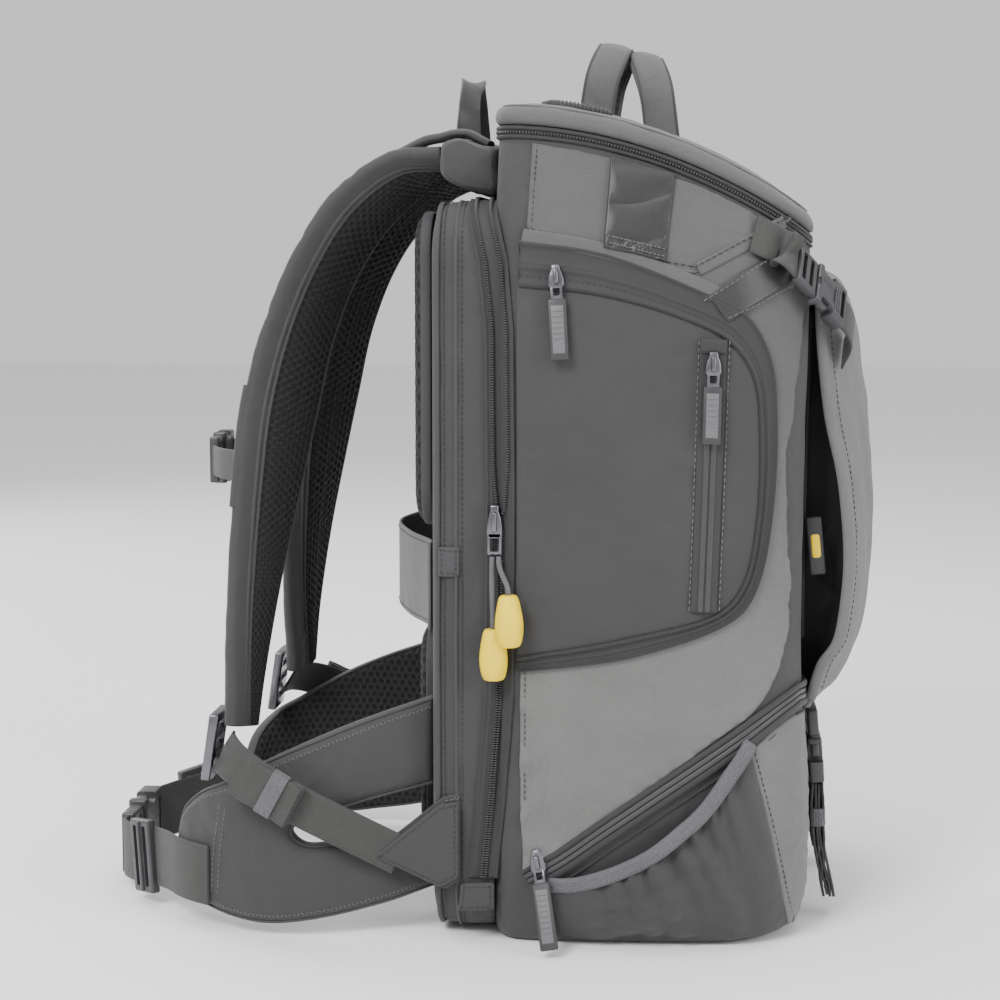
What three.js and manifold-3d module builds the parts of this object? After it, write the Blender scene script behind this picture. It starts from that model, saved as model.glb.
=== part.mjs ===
// A camera backpack standing on its base: a padded box of cloth with a rear section, a zipped
// lid, side doors, stretch pockets, a buckled front flap, and a padded harness with a hip belt.
// Millimetres, +Z up. The front of the bag looks along +X and its left side along -Y.
import * as THREE from "three";
import { mergeVertices } from "three/addons/utils/BufferGeometryUtils.js";
import Module from "manifold-3d";

const wasm = await Module();
wasm.setup();

// Driving sizes of the bag
const BAG_HEIGHT = 484; // rim under the lid, at the back
const RIM_DROP = 65; // how much lower the rim is at the front
const BAG_DEPTH = 190; // main compartment, from its back edge to its front
const BAG_HALF_WIDTH = 145;
const JOINT_X = 8; // plane where the rear section meets the main compartment
const PADDED_WALL = 8;
const CLOTH = 2;
const GAP = 0.3; // between pieces that touch
const FRONT_CORNER = 46;
const BACK_CORNER = 14;

// Rear section for a laptop
const REAR_DEPTH = 38;
const REAR_LOW = 2;
const REAR_HIGH = BAG_HEIGHT - 37;
const REAR_HALF_WIDTH = BAG_HALF_WIDTH - 6;
const REAR_CORNER = 36;
const REAR_RIM = 22; // width of the rim round its opening
const MAIN_ZIP_WIDTH = 20;
const MAIN_ZIP_START = 40; // height of its lower ends

// Lid and handle
const LID_BAND = 8; // height of the zip band under the lid
const LID_THICK = 12;
const LID_CROWN = 5;
const HANDLE_X = 85;
const HANDLE_RISE = 47; // above the lid
const HANDLE_HALF_SPAN = 52;
const HANDLE_LEG = 21; // width of one of its padded rolls
const HANDLE_PAD = 9;
const HANDLE_SPREAD = 9.5; // from the middle to a roll's middle at the grip
const HANDLE_FOOT_SPREAD = 21; // the same at the feet

// Side doors and pockets
const DOOR_THICK = 3;
const POCKET_ROOM = 12; // how far the stretch pocket stands off
const POCKET_SEAM = 3;

// Front flap
const FLAP_LOW = 137;
const FLAP_HIGH = BAG_HEIGHT - RIM_DROP - 11;
const FLAP_HALF_WIDTH = 95;
const FLAP_BULGE = 48; // beyond the front of the bag, at the middle
const FLAP_EDGE = 25; // the same, at its side edges
const FLAP_THICK = 5;

// Webbing and buckles
const WEB = 25;
const WEB_THICK = 1.8;
const BUCKLE_THICK = 9;
const FLAP_BUCKLE_LONG = 46;
const FLAP_BUCKLE_WIDE = 30;
const FRONT_STRAP_Y = 60;
const FRONT_STRAP_LOW = 40;
const FRONT_BUCKLE_LONG = 46;
const FRONT_BUCKLE_WIDE = 31;
const FRONT_TAIL_LOW = 14;
const BUNDLE_THICK = 9; // a tail of webbing folded up under its keeper

// Back pads and luggage sleeve
const PAD_THICK = 14;
const PAD_LOW = 252;
const PAD_HIGH = 440;
const PAD_INNER = 13; // half of the air channel between the two pads
const PAD_OUTER = 118;
const LUMBAR_LOW = 50;
const LUMBAR_HIGH = 184;
const LUMBAR_HALF_WIDTH = 96;
const SLEEVE_LOW = 188;
const SLEEVE_HIGH = 243;
const SLEEVE_HALF_WIDTH = 124;
const SLEEVE_BOW = 33; // how far the sleeve stands off the back

// Shoulder straps
const STRAP_THICK = 15;
const YOKE_HALF_WIDTH = 112;
const YOKE_REACH = 34; // out from the back of the main compartment
const YOKE_HIGH = BAG_HEIGHT;
const YOKE_LOW = YOKE_HIGH - 32;
const HAUL_HALF_SPAN = 36;
const HAUL_HIGH = YOKE_HIGH + 41;
const HAUL_WEB = 16;
const LIFTER_WEB = 26;
const CHEST_HEIGHT = 282;
const CHEST_WEB = 20;
const CHEST_BUCKLE_LONG = 44;
const CHEST_BUCKLE_WIDE = 34;

// Hip belt
const BELT_PAD = 13;
const BELT_WEB = 38;
const BELT_BUCKLE_LONG = 68;
const BELT_BUCKLE_WIDE = 46;
const BELT_BUCKLE_THICK = 13;
const BELT_BUCKLE_X = -245;
const BELT_BUCKLE_Z = 27;
const LADDER_LOCK_TALL = 42;
const LADDER_LOCK_WIDE = 33;

// Zip pulls, cords and toggles
const PULL_LONG = 36;
const LOW_PULL_LONG = 40;
const PULL_WIDE = 11;
const PULL_THICK = 3;
const SLIDER_LONG = 14;
const SLIDER_WIDE = 10;
const SLIDER_THICK = 5;
const TOGGLE_LONG = 31;
const TOGGLE_RADIUS = 8.5;
const TOGGLE_BORE = 2.1;
const CORD_DIAMETER = 3;

const V = (x, y, z) => new THREE.Vector3(x, y, z);
const mix = THREE.MathUtils.lerp;
const UP = V(0, 0, 1);
const FRONT_X = JOINT_X + GAP + BAG_DEPTH;
const REAR_X = JOINT_X - REAR_DEPTH;
const LEFT_OF_BAG = -2 * BAG_HALF_WIDTH;

function cloth(color, roughness = 0.85, metalness = 0) {
  return new THREE.MeshStandardMaterial({ color, roughness, metalness });
}
const materials = {
  dark: cloth(0x5b5b5f),
  light: cloth(0x8b8c89),
  tape: cloth(0x4c4c4e),
  mesh: cloth(0x2b2b2b, 0.95),
  webbing: cloth(0x5c5b57, 0.8),
  plastic: cloth(0x4b4b4e, 0.45),
  metal: cloth(0x6f6f73, 0.35, 0.9),
  yellow: cloth(0xf4d63c, 0.5),
};

// Solids made from closed rings, and their joins and cuts

function flatCap(ring) {
  const centre = ring.reduce((sum, p) => sum.add(p), V(0, 0, 0)).divideScalar(ring.length);
  const normal = V(0, 0, 0);
  ring.forEach((p, i) => {
    const next = ring[(i + 1) % ring.length].clone().sub(centre);
    normal.add(p.clone().sub(centre).cross(next));
  });
  normal.normalize();
  const right = (Math.abs(normal.z) < 0.9 ? V(0, 0, 1) : V(1, 0, 0)).cross(normal).normalize();
  const away = normal.clone().cross(right);
  const flat = ring.map((p) => new THREE.Vector2(p.dot(right), p.dot(away)));
  return THREE.ShapeUtils.triangulateShape(flat, []).map(([a, b, c]) => {
    const turn = flat[b].clone().sub(flat[a]).cross(flat[c].clone().sub(flat[a]));
    return turn > 0 ? [a, b, c] : [a, c, b];
  });
}

function loft(rings) {
  const count = rings[0].length;
  const last = (rings.length - 1) * count;
  const index = [];
  for (let k = 0; k < rings.length - 1; k++) {
    for (let i = 0; i < count; i++) {
      const j = (i + 1) % count;
      const [a, b, c, d] = [k * count + i, k * count + j, (k + 1) * count + j, (k + 1) * count + i];
      index.push(a, b, c, a, c, d);
    }
  }
  flatCap(rings[0]).forEach(([a, b, c]) => index.push(a, c, b));
  flatCap(rings.at(-1)).forEach(([a, b, c]) => index.push(last + a, last + b, last + c));
  const points = rings.flat();
  let volume = 0;
  for (let i = 0; i < index.length; i += 3) {
    const [a, b, c] = index.slice(i, i + 3).map((n) => points[n]);
    volume += a.dot(b.clone().cross(c));
  }
  if (volume < 0) index.reverse();
  const geometry = new THREE.BufferGeometry();
  geometry.setAttribute("position", new THREE.Float32BufferAttribute(points.flatMap((p) => p.toArray()), 3));
  geometry.setIndex(index);
  return geometry;
}

function solid(geometry) {
  const bare = new THREE.BufferGeometry();
  bare.setAttribute("position", geometry.getAttribute("position"));
  bare.setIndex(geometry.getIndex());
  const merged = mergeVertices(bare, 1e-3);
  const vertProperties = new Float32Array(merged.getAttribute("position").array);
  const triVerts = new Uint32Array(merged.getIndex().array);
  return new wasm.Manifold(new wasm.Mesh({ numProp: 3, vertProperties, triVerts }));
}

function surface(manifold) {
  const mesh = manifold.getMesh();
  const geometry = new THREE.BufferGeometry();
  geometry.setAttribute("position", new THREE.BufferAttribute(mesh.vertProperties, 3));
  geometry.setIndex(new THREE.BufferAttribute(mesh.triVerts, 1));
  return geometry;
}

function block(low, high) {
  const size = high.clone().sub(low);
  const middle = low.clone().add(high).multiplyScalar(0.5);
  return new THREE.BoxGeometry(...size.toArray()).translate(...middle.toArray());
}

// A solid with an outline in the XZ plane, between two planes across Y
function prism(outline, lowY, highY) {
  const geometry = new THREE.ExtrudeGeometry(outline, { depth: highY - lowY, bevelEnabled: false });
  return solid(geometry.rotateX(Math.PI / 2).translate(0, highY, 0));
}

function outlineOf(points) {
  return new THREE.Shape(points.map(([x, z]) => new THREE.Vector2(x, z)));
}

// A strap, pad or webbing along a route. section(t, along) gives its width, its thickness and the
// direction of its width; soft is the share of its thickness that its edges are cut back.
function strip(points, steps, section) {
  const route = new THREE.CatmullRomCurve3(points, false, "centripetal");
  const rings = [];
  for (let k = 0; k <= steps; k++) {
    const t = k / steps;
    const along = route.getTangent(t);
    const { width, thick, across, soft = 0 } = section(t, along);
    const wide = across.clone().addScaledVector(along, -across.dot(along)).normalize();
    const out = along.clone().cross(wide);
    const [w, h, c] = [width / 2, thick / 2, soft * thick];
    const chamfered = [[w, h - c], [w - c, h], [c - w, h], [-w, h - c], [-w, c - h], [c - w, -h], [w - c, -h], [w, c - h]];
    const square = [[w, h], [-w, h], [-w, -h], [w, -h]];
    const at = route.getPoint(t);
    const ring = (soft ? chamfered : square).map(([a, b]) => {
      return at.clone().addScaledVector(wide, a).addScaledVector(out, b);
    });
    rings.push(ring);
  }
  return loft(rings);
}

function webbing(points, steps, across, width = WEB) {
  return strip(points, steps, () => ({ width, thick: WEB_THICK, across }));
}

// Webbing through places that each have a position and the direction that its face looks in
function ribbon(places, steps, width = WEB) {
  return strip(places.map(({ at }) => at), steps, (t, along) => {
    const share = t * (places.length - 1);
    const k = Math.min(Math.floor(share), places.length - 2);
    const out = places[k].out.clone().lerp(places[k + 1].out, share - k);
    return { width, thick: WEB_THICK, across: out.cross(along) };
  });
}

// A row between the rows of a table, at a share t of its length
function rowAt(rows, t) {
  const place = t * (rows.length - 1);
  const k = Math.min(Math.floor(place), rows.length - 2);
  const between = ([name, value]) => [name, mix(value, rows[k + 1][name], place - k)];
  return Object.fromEntries(Object.entries(rows[k]).map(between));
}

// The main compartment: closed rings, each at a share of the height to the sloping rim
const BAG_SECTIONS = [
  { rise: 0, front: 0.93, half: 0.92 },
  { rise: 0.012, front: 0.96, half: 0.95 },
  { rise: 0.04, front: 0.985, half: 0.98 },
  { rise: 0.15, front: 1, half: 1 },
  { rise: 0.3, front: 0.985, half: 1 },
  { rise: 0.42, front: 0.975, half: 1 },
  { rise: 0.62, front: 0.975, half: 1 },
  { rise: 0.8, front: 0.98, half: 0.99 },
  { rise: 0.88, front: 0.985, half: 0.955 },
  { rise: 0.95, front: 0.99, half: 0.89 },
  { rise: 1, front: 0.99, half: 0.82 },
];
const SIDE_SWELL = 0.04; // how much the sides swell between their back and front edges
const CORNER_STEPS = 5;
const SIDE_STEPS = 5;

function rimHeight(x) {
  const share = Math.max(0, (x - JOINT_X) / BAG_DEPTH);
  return BAG_HEIGHT - RIM_DROP * share * share;
}

function corner(x, y, radius, from) {
  const steps = [...Array(CORNER_STEPS + 1).keys()];
  return steps.map((k) => {
    const turn = from + (k / CORNER_STEPS) * (Math.PI / 2);
    return [x + radius * Math.cos(turn), y + radius * Math.sin(turn)];
  });
}

// The bag's plan outline at one height, moved outwards by grow
function bagOutline(front, half, grow) {
  const [low, high] = [JOINT_X + GAP, JOINT_X + GAP + front * BAG_DEPTH];
  const width = half * BAG_HALF_WIDTH * (1 - SIDE_SWELL);
  const frontRadius = Math.min(FRONT_CORNER, width * 0.6);
  const side = (sign) => {
    const [from, to] = sign < 0 ? [low + BACK_CORNER, high - frontRadius] : [high - frontRadius, low + BACK_CORNER];
    const steps = [...Array(SIDE_STEPS - 1).keys()].map((k) => (k + 1) / SIDE_STEPS);
    return steps.map((t) => [mix(from, to, t), sign * width]);
  };
  const points = [
    ...corner(low + BACK_CORNER, BACK_CORNER - width, BACK_CORNER, Math.PI),
    ...side(-1),
    ...corner(high - frontRadius, frontRadius - width, frontRadius, -Math.PI / 2),
    ...corner(high - frontRadius, width - frontRadius, frontRadius, 0),
    ...side(1),
    ...corner(low + BACK_CORNER, width - BACK_CORNER, BACK_CORNER, Math.PI / 2),
  ];
  const swollen = points.map(([x, y]) => {
    const share = THREE.MathUtils.clamp((x - low) / (high - low), 0, 1);
    return new THREE.Vector2(x, y * (1 + SIDE_SWELL * 1.6 * Math.sin(Math.PI * Math.sqrt(share))));
  });
  return swollen.map((p, i) => {
    const edge = swollen[(i + 1) % swollen.length].clone().sub(swollen.at(i - 1)).normalize();
    return new THREE.Vector2(p.x + edge.y * grow, p.y - edge.x * grow);
  });
}

function bagSolid(grow, lift = 0, reach = 5) {
  const rings = BAG_SECTIONS.map(({ rise, front, half }) => {
    return bagOutline(front, half, grow).map((p) => V(p.x, p.y, lift + rise * (rimHeight(p.x) - lift)));
  });
  return solid(loft([...rings, rings.at(-1).map((p) => V(p.x, p.y, p.z + reach))]));
}

// Everything under the sloping rim, or under a copy of it that is raised
const RIM_STEPS = 14;

function underRim(height) {
  const [back, front] = [JOINT_X - 60, FRONT_X + 60];
  const places = [...Array(RIM_STEPS + 1).keys()].map((k) => mix(back, front, k / RIM_STEPS));
  const slope = places.map((x) => [x, rimHeight(x) + height]);
  return prism(outlineOf([[back, -50], ...slope, [front, -50]]), LEFT_OF_BAG, -LEFT_OF_BAG);
}

function sectionAt(rise) {
  const next = Math.max(1, BAG_SECTIONS.findIndex((row) => row.rise >= rise));
  const [low, high] = [BAG_SECTIONS[next - 1], BAG_SECTIONS[next]];
  const t = (rise - low.rise) / (high.rise - low.rise);
  return { front: mix(low.front, high.front, t), half: mix(low.half, high.half, t) };
}

function frontX(z) {
  return JOINT_X + GAP + BAG_DEPTH * sectionAt(z / rimHeight(FRONT_X)).front;
}

function sideY(x, z) {
  const { front, half } = sectionAt(z / rimHeight(x));
  const left = bagOutline(front, half, 0).slice(0, 2 * CORNER_STEPS + SIDE_STEPS + 1);
  const next = Math.max(1, left.findIndex((p) => p.x >= x));
  const [before, after] = [left[next - 1], left[next]];
  return mix(before.y, after.y, (x - before.x) / (after.x - before.x));
}

// A place that stands off the left side of the bag, and the direction out of it
function seat(x, z, stand) {
  const along = V(2, sideY(x + 1, z) - sideY(x - 1, z), 0);
  const up = V(0, sideY(x, z + 1) - sideY(x, z - 1), 2);
  const out = along.cross(up).normalize();
  return { at: V(x, sideY(x, z), z).addScaledVector(out, stand), out };
}

function mainShell() {
  const half = REAR_HALF_WIDTH - REAR_RIM;
  const opening = block(
    V(JOINT_X - PADDED_WALL, -half, REAR_LOW + REAR_RIM),
    V(JOINT_X + 2 * PADDED_WALL + BACK_CORNER, half, REAR_HIGH - REAR_RIM),
  );
  const hollow = bagSolid(-PADDED_WALL, PADDED_WALL, 60);
  return surface(bagSolid(0, 0, 50).intersect(underRim(0)).subtract(hollow).subtract(solid(opening)));
}

// Plates across the bag: a rounded outline in the YZ plane, at levels [x, grow]
function plate([lowY, highY], [lowZ, highZ], radius, levels) {
  const outline = (grow) => {
    const r = Math.max(1, radius + grow);
    const [left, right, low, high] = [lowY - grow + r, highY + grow - r, lowZ - grow + r, highZ + grow - r];
    return [
      ...corner(right, low, r, -Math.PI / 2),
      ...corner(right, high, r, 0),
      ...corner(left, high, r, Math.PI / 2),
      ...corner(left, low, r, Math.PI),
    ];
  };
  return solid(loft(levels.map(([x, grow]) => outline(grow).map(([y, z]) => V(x, y, Math.max(0, z))))));
}

function rearPlate(levels) {
  return plate([-REAR_HALF_WIDTH, REAR_HALF_WIDTH], [REAR_LOW, REAR_HIGH], REAR_CORNER, levels);
}

// Rear section: a shallow padded tray that faces the main compartment
function rearSection() {
  const outer = rearPlate([
    [REAR_X, -9],
    [REAR_X + 3, -3],
    [REAR_X + 9, 0],
    [JOINT_X, 0],
  ]);
  const hollow = rearPlate([
    [REAR_X + PADDED_WALL, -REAR_RIM],
    [JOINT_X + PADDED_WALL, -REAR_RIM],
  ]);
  return surface(outer.subtract(hollow));
}

// The zip that closes the rear section runs up one side, over the top and down the other
function mainZip() {
  const [low, high] = [JOINT_X - MAIN_ZIP_WIDTH / 2, JOINT_X + MAIN_ZIP_WIDTH / 2];
  const inside = rearPlate([[low - 5, GAP], [high + 5, GAP]]);
  const band = rearPlate([[low, GAP + CLOTH], [high, GAP + CLOTH]]).subtract(inside);
  const below = block(V(low - 5, LEFT_OF_BAG, -5), V(high + 5, -LEFT_OF_BAG, MAIN_ZIP_START));
  return surface(band.subtract(bagSolid(GAP)).subtract(solid(below)));
}

// Lid: a zip band on the rim, and a padded panel on the band
const RIM = BAG_SECTIONS.at(-1);
const LID_MIDDLE = JOINT_X + GAP + (RIM.front * BAG_DEPTH) / 2;

function lidZip() {
  const ring = (grow, low, high) => {
    const outline = bagOutline(RIM.front, RIM.half, grow);
    return solid(loft([low, high].map((z) => outline.map((p) => V(p.x, p.y, z)))));
  };
  const [low, high] = [BAG_HEIGHT - 2 * RIM_DROP, BAG_HEIGHT + RIM_DROP];
  const band = ring(1, low, high).subtract(ring(-PADDED_WALL, low - 5, high + 5));
  return surface(band.intersect(underRim(LID_BAND)).subtract(underRim(GAP)));
}

const LID_SECTIONS = [
  { share: 1, thick: -3, crown: 0 },
  { share: 1, thick: 0, crown: 0 },
  { share: 1.012, thick: 0.5, crown: 0 },
  { share: 0.97, thick: 1, crown: 0 },
  { share: 0.8, thick: 1, crown: 0.6 },
  { share: 0.5, thick: 1, crown: 0.95 },
  { share: 0.2, thick: 1, crown: 1 },
];

function lidSolid(lift) {
  const rings = LID_SECTIONS.map(({ share, thick, crown }) => {
    const height = LID_BAND + GAP + thick * (LID_THICK + lift) + crown * LID_CROWN;
    return bagOutline(RIM.front, RIM.half, 0).map((p) => {
      const x = LID_MIDDLE + share * (p.x - LID_MIDDLE);
      return V(x, share * p.y, rimHeight(x) + height);
    });
  });
  return solid(loft(rings)).subtract(underRim(LID_BAND + GAP));
}

// Handle: two padded rolls side by side that part towards their feet
function topHandle() {
  const roll = (sign) => {
    const [foot, grip] = [HANDLE_FOOT_SPREAD, HANDLE_SPREAD].map((spread) => HANDLE_X + sign * spread);
    const seatHeight = rimHeight(foot) + LID_BAND + LID_THICK - 2;
    const top = rimHeight(grip) + LID_BAND + LID_THICK + LID_CROWN + HANDLE_RISE - HANDLE_PAD / 2;
    const half = [
      V(foot, -HANDLE_HALF_SPAN, seatHeight),
      V(mix(foot, grip, 0.4), -HANDLE_HALF_SPAN, mix(seatHeight, top, 0.6)),
      V(mix(foot, grip, 0.9), -0.75 * HANDLE_HALF_SPAN, mix(seatHeight, top, 0.92)),
    ];
    const other = half.map((p) => V(p.x, -p.y, p.z)).reverse();
    const shape = { width: HANDLE_LEG, thick: HANDLE_PAD, across: V(1, 0, -0.2), soft: 0.3 };
    return solid(strip([...half, V(grip, 0, top), ...other], 18, () => shape));
  };
  return surface(roll(-1).add(roll(1)).subtract(lidSolid(GAP)));
}

// Side doors: the zip band lies between two outlines [x, z], the door inside the inner one
const DOOR_ZIP_OUTER = [
  [24, 168],
  [96, 179],
  [152, 201],
  [164, 219],
  [172, 261],
  [174, 320],
  [170, 355],
  [156, 381],
  [129, 395],
  [71, 417],
  [24, 424],
];
const DOOR_ZIP_INNER = [
  [24, 178],
  [84, 189],
  [143, 206],
  [156, 223],
  [163, 261],
  [164, 308],
  [160, 343],
  [147, 363],
  [118, 378],
  [71, 391],
  [24, 396],
];

function skin(inner, outer) {
  return bagSolid(outer).subtract(bagSolid(inner, -5, 10));
}

function sideDoor() {
  const corners = DOOR_ZIP_INNER.map(([x, z]) => V(x, 0, z));
  const middle = corners.reduce((sum, p) => sum.add(p), V(0, 0, 0)).divideScalar(corners.length);
  const inside = corners.map((p) => p.addScaledVector(middle.clone().sub(p).normalize(), 5 * GAP));
  const outline = outlineOf(inside.map((p) => [p.x, p.z]));
  return surface(skin(GAP, GAP + DOOR_THICK).intersect(prism(outline, LEFT_OF_BAG, -50)));
}

function doorZip() {
  const hole = DOOR_ZIP_INNER.map(([x, z], i) => [i > 0 && i < 10 ? x : x - 5, z]);
  const ring = prism(outlineOf(DOOR_ZIP_OUTER), LEFT_OF_BAG, -50);
  return surface(skin(GAP, GAP + CLOTH).intersect(ring.subtract(prism(outlineOf(hole), LEFT_OF_BAG - 9, -40))));
}

// Stretch pocket: its wall stands off the side, under a sagging elastic hem
const POCKET_HEM = [
  [44, 40],
  [74, 46],
  [104, 61],
  [134, 87],
  [160, 129],
];
const POCKET_SEAMS = [
  [167, 90],
  [181, 28],
  [170, 5],
  [62, 4],
];

function stretchPocket() {
  const wall = prism(outlineOf([...POCKET_HEM, ...POCKET_SEAMS]), LEFT_OF_BAG, -60);
  const room = [
    [POCKET_HEM[0][0] + POCKET_SEAM, POCKET_HEM[0][1] + 20],
    ...POCKET_HEM.slice(1, 4).map(([x, z]) => [x, z + 20]),
    [POCKET_HEM[4][0] - POCKET_SEAM, POCKET_HEM[4][1] + 20],
    ...POCKET_SEAMS.slice(0, 3).map(([x, z]) => [x - 2 * POCKET_SEAM, z + (z < 20 ? POCKET_SEAM : 0)]),
    [POCKET_SEAMS[3][0] + POCKET_SEAM, POCKET_SEAMS[3][1] + POCKET_SEAM],
  ];
  const inside = skin(-5, GAP + POCKET_ROOM).intersect(prism(outlineOf(room), LEFT_OF_BAG, -50));
  return surface(skin(GAP, GAP + POCKET_ROOM + CLOTH).intersect(wall).subtract(inside));
}

// Front flap: an arched sheet whose sides stand off the bag, sewn on along its lower edge
const FLAP_SECTIONS = [
  { rise: 0, edge: 0, middle: 0.11, half: 0.9 },
  { rise: 0.035, edge: 0.12, middle: 0.6, half: 0.95 },
  { rise: 0.1, edge: 0.35, middle: 0.79, half: 0.98 },
  { rise: 0.19, edge: 0.85, middle: 0.93, half: 1 },
  { rise: 0.34, edge: 1, middle: 1, half: 1 },
  { rise: 0.5, edge: 0.85, middle: 0.99, half: 1 },
  { rise: 0.68, edge: 0.42, middle: 0.9, half: 1 },
  { rise: 0.86, edge: 0.16, middle: 0.7, half: 0.97 },
  { rise: 0.96, edge: 0.1, middle: 0.5, half: 0.92 },
  { rise: 1, edge: 0.05, middle: 0.18, half: 0.88 },
];
const FLAP_STEPS = 8;

function flapSolid(grow) {
  const steps = [...Array(FLAP_STEPS + 1).keys()].map((k) => (2 * k) / FLAP_STEPS - 1);
  const rings = FLAP_SECTIONS.map(({ rise, edge, middle, half }) => {
    const z = mix(FLAP_LOW - grow, FLAP_HIGH + grow, rise);
    const width = half * FLAP_HALF_WIDTH + grow;
    const sheet = (out) =>
      steps.map((s) => {
        const bow = Math.cos((s * Math.PI) / 2);
        const x = frontX(z) + GAP + mix(edge * FLAP_EDGE, middle * FLAP_BULGE - FLAP_THICK, bow);
        return V(x + (out ? FLAP_THICK + grow : -grow), s * width, z);
      });
    return [...sheet(true), ...sheet(false).reverse()];
  });
  return solid(loft(rings));
}

function frontFlap() {
  return surface(flapSolid(0).subtract(bagSolid(GAP, 0, 40)));
}

// Side-release buckle along X, with a slot for webbing at each end
function sideRelease(long, wide, thick) {
  const part = (x0, x1, halfWide, halfThick) => solid(block(V(x0, -halfWide, -halfThick), V(x1, halfWide, halfThick)));
  const body = part(-0.12 * long, 0.5 * long, wide / 2, thick / 2);
  const tail = part(-0.5 * long, -0.1 * long, 0.44 * wide, 0.35 * thick);
  const slot = (x) => part(x - 2, x + 2, 0.34 * wide, thick);
  const prong = part(-0.04 * long, 0.22 * long, wide, thick).subtract(part(-long, long, 0.32 * wide, 2 * thick));
  return surface(body.add(tail).subtract(prong).subtract(slot(-0.4 * long)).subtract(slot(0.41 * long)));
}

// A piece modelled along X, turned so that X runs to `along` and its flat side faces `out`
function placed(geometry, at, along, out) {
  const x = along.clone().normalize();
  const y = out.clone().cross(x).normalize();
  const z = x.clone().cross(y);
  return geometry.applyMatrix4(new THREE.Matrix4().makeBasis(x, y, z).setPosition(at));
}

// The flap's buckles sit on the corner between the side and the front
const FLAP_BUCKLE_AT = V(FRONT_X + 1.7, 33 - BAG_HALF_WIDTH, FLAP_HIGH - 12);
const FLAP_BUCKLE_ALONG = V(0.59, 0.51, -0.62).normalize();
const FLAP_BUCKLE_OUT = V(0.9, -0.42, 0.3);

function flapBuckle() {
  const piece = sideRelease(FLAP_BUCKLE_LONG, FLAP_BUCKLE_WIDE, BUCKLE_THICK);
  return placed(piece, FLAP_BUCKLE_AT, FLAP_BUCKLE_ALONG, FLAP_BUCKLE_OUT);
}

function flapBuckleEnd(sign, beyond) {
  return FLAP_BUCKLE_AT.clone().addScaledVector(FLAP_BUCKLE_ALONG, sign * (FLAP_BUCKLE_LONG / 2 + beyond));
}

function flapStrap() {
  const stand = 3 * GAP + WEB_THICK / 2;
  const sewn = [[-64.3, 26, 0], [-50.3, 22, 0], [-35.3, 16, 1]];
  const places = sewn.map(([x, z, lift]) => seat(FRONT_X + x, FLAP_HIGH + z, stand + lift));
  const end = [7, 2 * GAP].map((beyond) => ({ at: flapBuckleEnd(-1, beyond), out: FLAP_BUCKLE_OUT }));
  return ribbon([...places, ...end], 10);
}

function flapTab() {
  const [start, end] = [flapBuckleEnd(1, 2 * GAP), flapBuckleEnd(1, 7)];
  const points = [start, end, end.clone().add(V(4, 9, -9)), end.clone().add(V(0, 24, -22))];
  const tab = webbing(points, 5, FLAP_BUCKLE_OUT.clone().cross(FLAP_BUCKLE_ALONG));
  return surface(solid(tab).subtract(flapSolid(GAP)));
}

// Compression straps on the lower front: webbing, a buckle on it and its folded tail
function frontStrap() {
  const heights = [FLAP_LOW - 4, 115, 92, 70, FRONT_STRAP_LOW];
  const points = heights.map((z) => V(frontX(z) + 3 * GAP + WEB_THICK / 2, -FRONT_STRAP_Y, z));
  return webbing(points, 8, V(0, 1, 0));
}

const FRONT_BUCKLE_Z = FLAP_LOW - 4 - FRONT_BUCKLE_LONG / 2;
const FRONT_BUCKLE_X = frontX(FRONT_BUCKLE_Z) + 5 * GAP + WEB_THICK + BUCKLE_THICK / 2;
const FRONT_BUCKLE_ALONG = V(0.08, 0, -1).normalize();

function frontBuckle() {
  const piece = sideRelease(FRONT_BUCKLE_LONG, FRONT_BUCKLE_WIDE, BUCKLE_THICK);
  return placed(piece, V(FRONT_BUCKLE_X, -FRONT_STRAP_Y, FRONT_BUCKLE_Z), FRONT_BUCKLE_ALONG, V(1, 0, 0));
}

function frontTail() {
  const start = V(FRONT_BUCKLE_X, -FRONT_STRAP_Y, FRONT_BUCKLE_Z);
  start.addScaledVector(FRONT_BUCKLE_ALONG, FRONT_BUCKLE_LONG / 2 + 2 * GAP);
  const points = [start, V(start.x + 1, start.y, 55), V(start.x + 8, start.y, FRONT_TAIL_LOW)];
  return strip(points, 6, () => ({ width: WEB, thick: BUNDLE_THICK, across: V(0, 1, 0), soft: 0.25 }));
}

// Back of the bag: mesh pads and a sleeve for a trolley handle
function backPad() {
  const levels = [
    [REAR_X - GAP, 0],
    [REAR_X - PAD_THICK * 0.7, -5],
    [REAR_X - PAD_THICK, -14],
  ];
  return surface(plate([-PAD_OUTER, -PAD_INNER], [PAD_LOW, PAD_HIGH], 24, levels));
}

function lumbarPad() {
  const levels = [
    [REAR_X - GAP, 0],
    [REAR_X - PAD_THICK * 0.6, -3],
    [REAR_X - PAD_THICK, -14],
  ];
  return surface(plate([-LUMBAR_HALF_WIDTH, LUMBAR_HALF_WIDTH], [LUMBAR_LOW, LUMBAR_HIGH], 22, levels));
}

function luggageSleeve() {
  const z = (SLEEVE_LOW + SLEEVE_HIGH) / 2;
  const base = REAR_X - GAP - CLOTH;
  const half = [
    V(base, -SLEEVE_HALF_WIDTH, z),
    V(base, -SLEEVE_HALF_WIDTH + 12, z),
    V(base - 0.6 * SLEEVE_BOW, -0.5 * SLEEVE_HALF_WIDTH, z),
  ];
  const other = half.map((p) => V(p.x, -p.y, p.z)).reverse();
  const shape = { width: SLEEVE_HIGH - SLEEVE_LOW, thick: CLOTH, across: UP };
  return strip([...half, V(base - SLEEVE_BOW, 0, z), ...other], 20, () => shape);
}

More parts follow.
